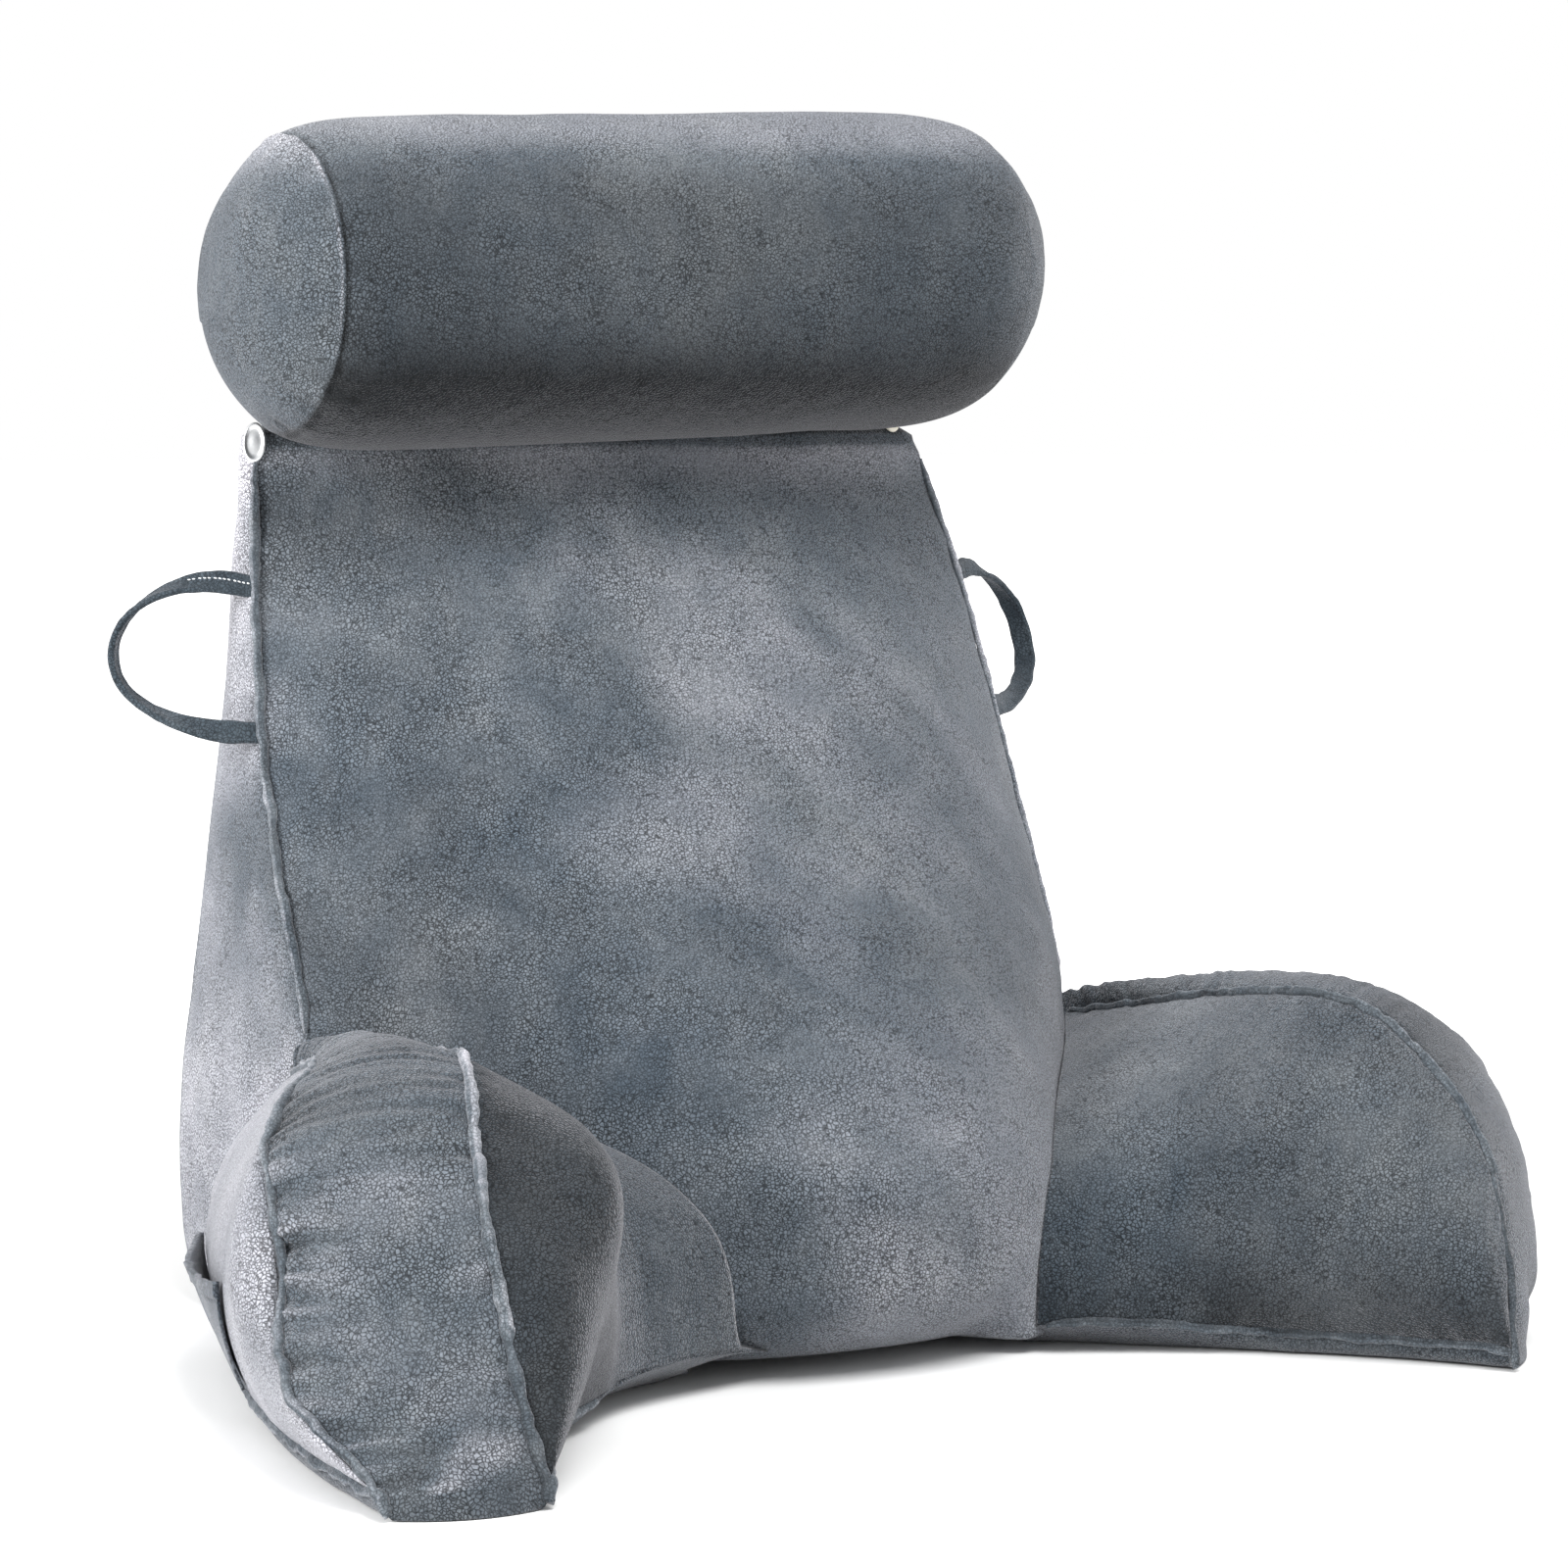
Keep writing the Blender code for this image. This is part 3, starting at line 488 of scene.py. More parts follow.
def plain(name, colour, roughness, metallic=0.0, mottle=0.08, scale=60.0):
    """A slightly spotted colour with a faint bump."""
    made, tree, shader, add = nodes_of(name)
    link = tree.links.new
    where = add("ShaderNodeTexCoord")
    spots = add("ShaderNodeTexNoise", Scale=scale, Detail=4.0, Roughness=0.6)
    link(where.outputs["Object"], spots.inputs["Vector"])
    tones = add("ShaderNodeValToRGB")
    for stop, place, share in zip(tones.color_ramp.elements, (0.35, 0.65), (1 - mottle, 1 + mottle)):
        stop.position, stop.color = place, (*[min(1, c * share) for c in colour], 1)
    link(spots.outputs["Fac"], tones.inputs["Fac"])
    link(tones.outputs["Color"], shader.inputs["Base Color"])
    bump = add("ShaderNodeBump", Strength=0.2, Distance=0.0003)
    link(spots.outputs["Fac"], bump.inputs["Height"])
    link(bump.outputs["Normal"], shader.inputs["Normal"])
    put(shader, {"Roughness": roughness, "Metallic": metallic})
    return made


DARK, MID, LIGHT = (0.042, 0.055, 0.069), (0.073, 0.086, 0.100), (0.112, 0.124, 0.135)
body_velvet = velvet("velvet_body", (0.048, 0.062, 0.078), (0.084, 0.098, 0.114), (0.128, 0.140, 0.154),
                     seed=0.37, sheen=0.34)
arm_velvet = velvet("velvet_arms", DARK, MID, LIGHT, seed=1.9, patches=9.0)
roll_velvet = velvet("velvet_roll", DARK, MID, LIGHT, seed=4.1, sheen=0.30)
seam_velvet = velvet("velvet_seams", (0.055, 0.068, 0.082), (0.085, 0.100, 0.115), (0.13, 0.145, 0.16),
                     grain=0.6, patches=40.0, seed=2.3)
strap_velvet = velvet("velvet_strap", (0.026, 0.036, 0.046), (0.042, 0.055, 0.067), (0.065, 0.080, 0.094),
                      grain=0.7, patches=45.0, seed=3.3, sheen=0.3)
pocket_velvet = velvet("velvet_pocket", DARK, MID, LIGHT, patches=25.0, seed=5.2)
thread = plain("thread_white", (0.72, 0.74, 0.76), 0.6)
metal = plain("cap_metal", (0.78, 0.79, 0.80), 0.28, 0.85, 0.06, 400.0)
cream = plain("cap_cream", (0.72, 0.68, 0.58), 0.45, 0.0, 0.10, 300.0)


# -------- back cushion

def body_at(z):
    zs = column(BODY_HEAD, BODY, "z")
    z = np.clip(z, 0, zs[-1])
    return {n: eased(zs, column(BODY_HEAD, BODY, n), z) for n in BODY_HEAD[1:]}


def front_y(at, z, share):
    """The front panel's y at that share of its half width. Beside the arms it stands straight on the floor."""
    begin, full = (np.where(share > 0, right, left) for left, right in zip(STRAIGHT_LEFT, STRAIGHT_RIGHT))
    share = np.abs(share)

    def crowned(level):
        return level["mid_y"] + (level["edge_y"] - level["mid_y"]) * share ** level["crown"]

    hold = ramp(share, begin, full) * (1 - ramp(share, *STRAIGHT_END)) * ramp(z, 0, STRAIGHT_EDGE)
    return crowned(at) + (crowned(body_at(STRAIGHT_Z)) - crowned(at)) * hold * (z < STRAIGHT_Z)


def side_x(at, u):
    """The gusset's x at that share of the way from its front seam to the rear."""
    return at["edge_x"] + (at["back_x"] - at["edge_x"]) * u + SIDE_BULGE * 4 * u * (1 - u)


def inside_body(points):
    """How deep each point lies in the back cushion, in cm; below zero outside it."""
    x, y, z = np.moveaxis(points, -1, 0)
    at = body_at(z)
    front = front_y(at, z, x / at["edge_x"])
    u = np.clip((y - at["edge_y"]) / (at["back_y"] - at["edge_y"]), 0, 1)
    return np.minimum(y - front, side_x(at, u) - np.abs(x))


def barrel_radius(x):
    """The neck roll between its seams: nearly straight, drawn in at both ends."""
    share = np.clip(np.abs(x) / ROLL_HALF, 0, 1)
    seam = np.where(x < 0, *ROLL_SEAMS_R)
    return seam + (ROLL_MID_R - seam) * (1 - share ** BARREL_FULL)


def roll_radius(x):
    """Radius of the neck roll at x from its middle."""
    past = np.clip((np.abs(x) - ROLL_HALF) / ROLL_CAP, 0, 1)
    return barrel_radius(x) * (1 - past) ** (1 / CAP_FULL)


BODY_LEVELS, FRONT_COLS, SIDE_COLS, BACK_COLS, DOME_ROWS = (int(n * DENSITY) for n in (190, 130, 56, 60, 60))


def back_cushion():
    top = BODY[-1][0]
    level = np.linspace(0, 1, BODY_LEVELS)
    z = top * (0.35 * level ** 2 + 0.65 * level)
    at = {n: v[:, None] for n, v in body_at(z).items()}
    bend = np.linspace(-1, 1, FRONT_COLS + 1)
    t = np.sign(bend) * np.abs(bend) ** 0.9
    front = np.stack([at["edge_x"] * t, front_y(at, z[:, None], t)], -1)
    u = np.linspace(0, 1, SIDE_COLS + 1)
    side = np.stack([side_x(at, u), at["edge_y"] + (at["back_y"] - at["edge_y"]) * u], -1)
    b = np.linspace(1, -1, BACK_COLS + 1)
    back = np.stack([at["back_x"] * b, at["back_y"] + BACK_BULGE * (1 - b ** 4)], -1)
    other = side[:, ::-1] * (-1, 1)
    ring = np.concatenate([front[:, :-1], side[:, :-1], back[:, :-1], other[:, :-1]], axis=1)
    grid = np.concatenate([ring, np.broadcast_to(z[:, None, None], (*ring.shape[:2], 1))], -1)

    normal = outward_normals(grid, BODY_MIDDLE)
    run = run_of(np.concatenate([grid, grid[:, :1]], axis=1), 1)
    around = run[:, -1:]
    run = run[:, :-1]
    # away from the left and the right front seam
    away = np.minimum(*[np.minimum(np.abs(run - run[:, [k]]), around - np.abs(run - run[:, [k]]))
                        for k in (0, FRONT_COLS)])
    cols = grid.shape[1]
    col = np.arange(cols)[None, :]
    on_front = col <= FRONT_COLS
    on_side = ~on_front & ((col < FRONT_COLS + SIDE_COLS) | (col > cols - SIDE_COLS))
    x, up = grid[..., 0], grid[..., 2]
    height, pitch, reach = (np.where(on_front, *pair) for pair in BODY_PUCKERS)
    fold = height * puckers(up, away, pitch, reach, 21)
    move = 0.26 * lumps(grid, 11.0, 11) * (1 - np.exp(-away / 3)) + 0.05 * lumps(grid, 3.2, 14) + fold
    move = move - 0.16 * bell(away, 0, 0.45)
    # slack cloth gathers under the neck roll
    move = move + 0.10 * bell(up, top, 4.0) * ripple(31, x / 3.1, up / 1.3, grid[..., 1] / 9)
    grid = grid + normal * (move * ramp(up, 0, 2.0))[..., None]
    grid[..., 2] = np.maximum(grid[..., 2], 0)
    x = grid[..., 0]
    # painted light and shade: fold crests lighter and their hollows darker, painted shade at the upper left of the
    # front and under the neck roll, and on the side panels darker beside the front seams; the clouds and lumps are
    # random tone
    shade = bell(x, -15, 8.0) * bell(up, 33, 14) + 0.8 * bell(up, 45, 4.5)
    clouds = 0.34 * lumps(grid + grid[..., [2]] * (0.5, 0, 0), 5.5, 19)
    nap_and_painted_light = 2.2 * fold + on_front * (nap_and_light_of(FRONT_NAP_LIGHT_AND_SHADE, x, up) - 0.30 * shade + clouds)
    nap_and_painted_light = nap_and_painted_light + on_side * (nap_and_light_of(GUSSET_NAP_AND_LIGHT, x, up) + 0.55 * lumps(grid, 5.0, 17) - 0.5 * np.exp(-away / 1.6))
    nap_and_painted_light = nap_and_painted_light + ~(on_front | on_side) * (0.15 + 0.3 * lumps(grid, 6.0, 18))
    nap_and_painted_light = nap_and_painted_light + TOP_SHADOW * ramp(up, *TOP_SHADOW_Z) * on_front

    # dome over the top, then the saddle that the neck roll presses into it
    rim = grid[-1]
    middle = rim.mean(0)
    shares = np.linspace(1, 0.02, DOME_ROWS)[1:]
    dome = [middle + (rim - middle) * s + (0, 0, TOP_DOME * (1 - s ** DOME_FULL)) for s in shares]
    grid = np.concatenate([grid, np.array(dome)])
    nap_and_painted_light = np.concatenate([nap_and_painted_light, np.full((len(dome), cols), TOP_SHADOW)])
    x = grid[..., 0] - ROLL_X
    dy, dz = grid[..., 1] - ROLL_Y, grid[..., 2] - (ROLL_Z + ROLL_RISE * x)
    reach = np.hypot(dy, dz)
    clear = roll_radius(x) + 0.10
    push = np.where((reach < clear) & (np.abs(x) < ROLL_HALF + ROLL_CAP), clear / np.maximum(reach, 1e-6), 1.0)
    grid[..., 1] = ROLL_Y + dy * push
    grid[..., 2] = ROLL_Z + ROLL_RISE * x + dz * push
    settle(capped("back_cushion_cover", grid, body_velvet, nap_and_painted_light), "back_cushion")


# -------- arms

def arm_curves(side, s):
    """The arm's four seams at the places s: top inner, top outer, bottom inner and bottom outer."""
    at = {n: eased(column(ARM_HEAD, ARM, "s"), column(ARM_HEAD, ARM, n), s) for n in ARM_HEAD}
    ti, to = (np.stack([at[seam + axis] for axis in ("_x", "_y", "_z")], -1) for seam in ("ti", "to"))
    root = np.clip(1 - s / ROOT_END, 0, None)
    pinch = ROOT_PINCH[side] * np.sin(np.pi * np.minimum(1, s / ROOT_PINCH_END)) ** 2
    pinch = pinch + INNER_PINCH[side] * bell(s, *INNER_PINCH_AT)
    pinch = pinch - ROOT_REACH[side] * np.clip(1 - s / ROOT_REACH_END, 0, None)
    lift = SEAM_LIFT + ROOT_LIFT[side] * root * ramp(s, 0, ROOT_LIFT_FULL)
    bi = np.stack([at["bi_x"] + pinch, at["bi_y"], np.minimum(lift, at["ti_z"])], -1)
    bo = np.stack([at["bo_x"], at["bo_y"], np.minimum(SEAM_LIFT, at["to_z"])], -1)
    wider = TOE_WIDEN[side] * ramp(s, *WIDE_FROM) * (1 - ramp(s, *WIDE_TO))
    to = to + wider[:, None] * SIDEWAYS
    reach = np.clip((s - TOE_FROM) / (1 - TOE_FROM), 0, 1) ** 1.5
    reach = reach * (1 - TOE_CURL * np.clip((s - CURL_FROM) / (1 - CURL_FROM), 0, None) ** 2)
    for pair, toe in zip(((ti, bi), (to, bo)), TOE[side]):
        for p in pair:
            far = toe * np.clip(1 - p[:, 2] / TOE_HEIGHT, 0, None) ** 1.2 * reach
            p += TOE_WAY * far[:, None]
    return ti, to, bi, bo


ROWS_FOOT, ROWS_PANEL, ROWS_STRIP, ROWS_BASE = 6, int(58 * DENSITY), int(40 * DENSITY), 10
STATIONS, ROWS_ROOT, ROWS_TOE = int(250 * DENSITY), 10, 9


def outer_panel(to, bo, s, v):
    """Points of the arm's outer panel at the places s and at shares v of the way up from its lower seam."""
    bulge = OUTER_BULGE * 4 * v * (1 - v) * (1 - s ** 5)[:, None]
    return bo[:, None] + (to - bo)[:, None] * v[..., None] + bulge[..., None] * OUTER_WAY


def arm_surface(side, s):
    """Grid of points round the arm at the places s, and the columns of its seams."""
    ti, to, bi, bo = arm_curves(side, s)
    inward = unit((bo - bi) * (1, 1, 0))
    root = np.clip(1 - s / ROOT_END, 0, None)
    low_in = bi * (1, 1, 0) + inward * (BASE_TUCK + ROOT_TUCK[side] * root)[:, None]
    low_out = bo * (1, 1, 0) - inward * BASE_TUCK
    turn = np.linspace(0, np.pi / 2, ROWS_FOOT + 1)[:-1]

    def foot(low, high, straight):
        flat = low[:, None] + (high - low)[:, None] * np.sin(turn)[None, :, None]
        rounded, level = (1 - np.cos(turn))[None], np.sin(turn)[None]
        flat[..., 2] = high[:, None, 2] * (rounded + (level - rounded) * straight[:, None])
        return flat

    v = np.linspace(0, 1, ROWS_PANEL + 1)
    lean = (LEAN_TO + (LEAN_FROM - LEAN_TO) * (1 - s) ** 1.2)[:, None]
    inner = bi[:, None] + (ti - bi)[:, None] * np.stack([v ** lean, v ** lean, v + 0 * lean], -1)
    bulge = INNER_BULGE * 4 * v * (1 - v) * ((1 - s ** 6) * ramp(s, SWELL_FROM, SWELL_FULL))[:, None]
    full = INNER_FULL[side] * np.sin(np.pi * v ** 3) * bell(s, *INNER_FULL_AT)[:, None]
    inner = inner + (bulge + full)[..., None] * INNER_WAY
    outer = outer_panel(to, bo, s, v)[:, ::-1]
    t = np.linspace(0, 1, ROWS_STRIP + 1)
    up = unit(np.cross(np.gradient(ti + to, axis=0), to - ti))
    crown = STRIP_CROWN * 4 * t * (1 - t) * (1 - STRIP_FLATTER * s)[:, None]
    strip = ti[:, None] + (to - ti)[:, None] * t[None, :, None] + up[:, None] * crown[..., None]
    across = np.linspace(0, 1, ROWS_BASE + 2)[1:-1]
    base = low_out[:, None] + (low_in - low_out)[:, None] * across[None, :, None]
    taut = np.minimum(1, 3 * root) ** 0.5
    under = np.concatenate([bo[:, None], foot(low_out, bo, 0 * root)[:, ::-1]], axis=1)
    rows = [foot(low_in, bi, taut), inner[:, :-1], strip[:, :-1], outer[:, :-1], under, base]
    ends = np.cumsum([0] + [row.shape[1] for row in rows])
    return np.concatenate(rows, axis=1), dict(zip(("foot", "bi", "ti", "to", "bo", "base"), ends.tolist()))


def arm_root(side):
    """For each column, the place along the arm where it leaves the back cushion."""
    tries = np.linspace(0, 0.45, 240)
    deep = inside_body(arm_surface(side, tries)[0]) + CLEAR
    inside = deep > 0
    last = np.where(inside.any(axis=0), len(tries) - 1 - np.argmax(inside[::-1], axis=0), 0)
    k, col = np.clip(last, 0, len(tries) - 2), np.arange(deep.shape[1])
    a, b = deep[k, col], deep[k + 1, col]
    part = np.clip(a / np.where(np.abs(a - b) < 1e-9, 1, a - b), 0, 1)
    return tries[k] + part * (tries[1] - tries[0])


def arm_grid(side):
    """The dressed arm's grid, with its puckers and folds, on the right-hand side."""
    start = arm_root(side)
    ease = np.linspace(0, 1, STATIONS)
    ease = 0.55 * ease + 0.45 * np.sin(ease * np.pi / 2)
    dense, seams = arm_surface(side, np.linspace(0, 1, 900))
    where = start + (TOE_END - start) * ease[:, None]
    place = where * (len(dense) - 1)
    k = np.clip(place.astype(int), 0, len(dense) - 2)
    f = (place - k)[..., None]
    col = np.arange(dense.shape[1])[None, :]
    grid = dense[k, col] * (1 - f) + dense[k + 1, col] * f

    normal = outward_normals(grid, grid.mean(axis=1, keepdims=True))
    run, up = run_of(grid, 1), grid[..., 2]
    away = {n: np.abs(run - run[:, [seams[n]]]) for n in ("bi", "ti", "to", "bo")}
    along = {n: run_of(grid[:, seams[n]], 0)[:, None] for n in away}
    inner, strip, outer = ((col >= seams[a]) & (col < seams[b]) for a, b in (("bi", "ti"), ("ti", "to"), ("to", "bo")))
    share = {"inner": inner, "strip": strip * RAGGED[side], "outer": outer}
    by_top, by_floor = np.minimum(away["ti"], away["to"]), np.minimum(away["bi"], away["bo"])
    nearest = np.minimum(by_top, by_floor)

    fold = sum(share[panel] * height * puckers(along[seam], away[seam], pitch, reach, seed)
               for panel, seam, height, pitch, reach, seed in ARM_PUCKERS)
    # fine gathers cross the top of the strip, and its front curls under in a few folds
    fold = fold + share["strip"] * 0.11 * ripple(77, along["to"] / 0.42, run / 6.0) * ramp(up, 12, 16)
    curl = ramp(up, 5.5, 1.5) * ramp(where, 0.80, 0.95)
    fold = fold + strip * curl * 0.26 * ripple(79, run / 1.6, along["to"] / 2.6)
    move = 0.24 * lumps(grid, 7.5, 41) * (1 - np.exp(-nearest / 1.8)) + 0.04 * lumps(grid, 2.4, 44) + fold
    move = move - 0.17 * bell(by_top, 0, 0.38) - 0.10 * bell(by_floor, 0, 0.32)
    # it lies quiet under the pocket, at the crease with the body, at the very front and on the floor
    if side == "left":
        height = away["bo"] / np.maximum(run[:, [seams["bo"]]] - run[:, [seams["to"]]], 1)
        pocketed = outer * ramp(height, 0.50, 0.42) * ramp(where, 0.08, 0.12) * ramp(where, 0.62, 0.58)
        move = np.where(pocketed > 0.5, np.minimum(move, 0) * 0.4 - 0.02, move)
    move = move * ramp(where - start, -0.001, 0.049) * (col < seams["base"]) * ramp(where, 1.0, 0.985)
    grid = grid + normal * move[..., None]
    grid[..., 2] = np.maximum(grid[..., 2], 0)
    # the outer front corner draws in towards the floor
    span = np.clip((run - run[:, [seams["ti"]]]) / (run[:, [seams["to"]]] - run[:, [seams["ti"]]] + 1e-6), 0, 1)
    corner = CORNER_IN[side] * np.clip(1 - grid[..., 2] / CORNER_Z, 0, 1) ** 1.8 * ramp(where, *CORNER_AT) * span
    grid = grid + (corner * (col < seams["base"]))[..., None] * SIDEWAYS * (-1, 1, 1)
    up = grid[..., 2]
    # painted light and shade: fold crests lighter and their hollows darker, the strip darker along its outer seam and
    # the outer panel darker near its seams; the lumps are random tone
    nap_and_painted_light = 2.4 * fold + inner * nap_and_light_of(INNER_NAP_AND_SHADE[side], where, up) + ~outer * 0.22 * lumps(grid, 4.5, 49)
    nap_and_painted_light = nap_and_painted_light + strip * (nap_and_light_of(STRIP_NAP_AND_SHADE[side], where, up) - 0.35 * np.exp(-away["to"] / 1.6))
    nap_and_painted_light = nap_and_painted_light + outer * (nap_and_light_of(OUTER_NAP_AND_LIGHT, where, up) + 0.25 * lumps(grid, 5.0, 47) - 0.3 * np.exp(-nearest / 1.2))
    return grid, normal, seams, where, start, nap_and_painted_light


def arm(side):
    """The arm's cover, with its front rolled down to the floor and its root laid on the back cushion."""
    grid, normal, seams, where, start, nap_and_painted_light = arm_grid(side)
    edge, slope = grid[-1], np.radians(TOE_SLOPE[side])
    across = unit((edge[seams["to"]] - edge[seams["ti"]]) * (1, 1, 0))
    offside = ((edge - edge.mean(0)) @ across)[:, None] * across
    rolled = []
    for share in np.linspace(0, 1, ROWS_TOE + 1)[1:]:
        turn = slope + (np.pi / 2 - slope) * share
        ahead = edge[:, 2:] * (np.sin(turn) - np.sin(slope)) / np.cos(slope) * TOE_WAY
        rolled.append(edge * (1, 1, np.cos(turn) / np.cos(slope)) + ahead - TOE_DRAW * share ** 2 * offside)
    # the root: shrinking copies of the first ring, kept just outside the back cushion
    first, middle = grid[0], grid[0].mean(0)
    root = []
    for share in np.linspace(1, 0.04, ROWS_ROOT)[1:]:
        copy = middle + (first - middle) * share
        for _ in range(24):
            sunk = np.clip(inside_body(copy) + CLEAR, 0, None)
            copy = copy + np.array([0.55, -0.83, 0]) * sunk[:, None] * 0.6
        root.append(copy)
    whole = np.concatenate([root[::-1], grid, rolled])
    weight = np.pad(ramp(where, 0.93, 0.98), ((len(root), ROWS_TOE), (0, 0)))
    weight[-ROWS_TOE:-2] = 1
    whole = relaxed(whole, 0.5 * weight, 4)
    whole[..., 2] = np.maximum(whole[..., 2], 0)
    whole = whole * (SIGN[side], 1, 1)
    nap_and_painted_light = np.pad(nap_and_painted_light, ((len(root), ROWS_TOE), (0, 0)))
    settle(capped("arm_cover_" + side, whole, arm_velvet, nap_and_painted_light), "arm_" + side)
    normal = np.concatenate([normal, np.repeat(normal[-1:], ROWS_TOE, axis=0)])
    return whole[len(root):], normal * (SIGN[side], 1, 1), seams, where, start


# -------- raised seams

def welt(name, path, ways, kind, seed, node):
    """Folded, stitched edge: a slightly flattened cord of cloth that wobbles along its seam."""
    radius, rough, pale = kind
    ahead, run = headings(path), run_of(path, 0)
    side_way = unit(np.cross(ahead, ways))
    up = np.cross(side_way, ahead)

    def wave(pitch, k):
        return ripple(seed + k, run / pitch, float(k))[:, None]

    path = path + side_way * rough * (0.07 * wave(1.7, 1) + 0.05 * wave(0.7, 2)) + up * rough * 0.035 * wave(1.1, 3)
    turn = full_turn(SEAM_SIDES)
    ends = 2 - ramp(run, 0, TAPER_RUN) - ramp(run[-1] - run, 0, TAPER_RUN)
    thick = radius * (1 + 0.20 * wave(0.9, 4) + 0.12 * wave(0.35, 5)) * (1 - SEAM_TAPER * ends[:, None])
    # a stitched groove runs along it, and small folds cross it
    groove = 1 - 0.22 * bell(turn, np.pi * 0.28, 0.28)
    crimp = 1 + 0.10 * ripple(seed + 6, run[:, None] / 0.30, turn / 1.5)
    size = thick * groove * crimp
    grid = (path[:, None] + side_way[:, None] * (np.cos(turn) * size * 0.95)[..., None]
            + up[:, None] * (np.sin(turn) * size * 1.10)[..., None])
    # painted light and shade: the cord's outward side painted lighter and the side against the cover darker, the
    # crimp's crests lighter, the stitched groove painted darker; the slow wave is random tone
    nap_and_painted_light = pale + 0.5 * np.sin(turn) + 2.0 * (crimp - 1) + 0.35 * wave(2.5, 8) - 3.0 * (1 - groove)
    settle(capped(name, grid, seam_velvet, nap_and_painted_light), node)


def arm_welts(side, made):
    """The raised seams on both edges of the arm's strip: out along the top, and back along the floor."""
    grid, normal, seams, where, start = made
    for place, top, low in (("inner", "ti", "bi"), ("outer", "to", "bo")):
        seed, *kind, pale = ARM_SEAM[side, place]
        left_inner = (side, place) == ("left", "inner")
        begin = int(np.argmax(where[:, seams[top]] > start[seams[top]] + TOP_BEGINS))
        stop = int(np.argmax(where[:, seams[low]] > (LEFT_INNER_ENDS if left_inner else start[seams[low]] + LOW_ENDS)))
        out, home = (slice(begin, -3), seams[top]), (slice(stop, len(where) - 3), seams[low])
        path = np.concatenate([grid[out] + normal[out] * TOP_OFF, (grid[home] + normal[home] * LOW_OFF)[::-1]])
        path[:, 2] = np.maximum(path[:, 2], FLOOR_OFF)
        path = spread(path[::2], int(520 * DENSITY))
        way = np.concatenate([normal[out], normal[home][::-1]])
        at = np.linspace(0, len(way) - 1, len(path))
        way = np.stack([np.interp(at, np.arange(len(way)), way[:, k]) for k in range(3)], -1)
        # painted highlight, higher up on the left arm's inner seam
        if left_inner:
            pale = pale + SEAM_HIGHLIGHT * ramp(path[:, 2:], *SEAM_HIGHLIGHT_Z)
        welt("arm_" + place + "_piping_" + side, path, way, (*kind, pale), seed, "arm_" + place + "_welt_" + side)


def front_welt(side):
    z = np.linspace(*FRONT_SEAM_Z, int(300 * DENSITY))
    at = body_at(z)
    way = np.array([SIGN[side] * 0.80, -0.60, 0.0])
    path = np.stack([SIGN[side] * at["edge_x"], at["edge_y"], z], -1) + way * FRONT_SEAM_OUT[side]
    welt("front_piping_" + side, path, np.broadcast_to(way, path.shape), FRONT_SEAM[side], 131 + SIGN[side],
         "front_welt_" + side)


# -------- neck roll

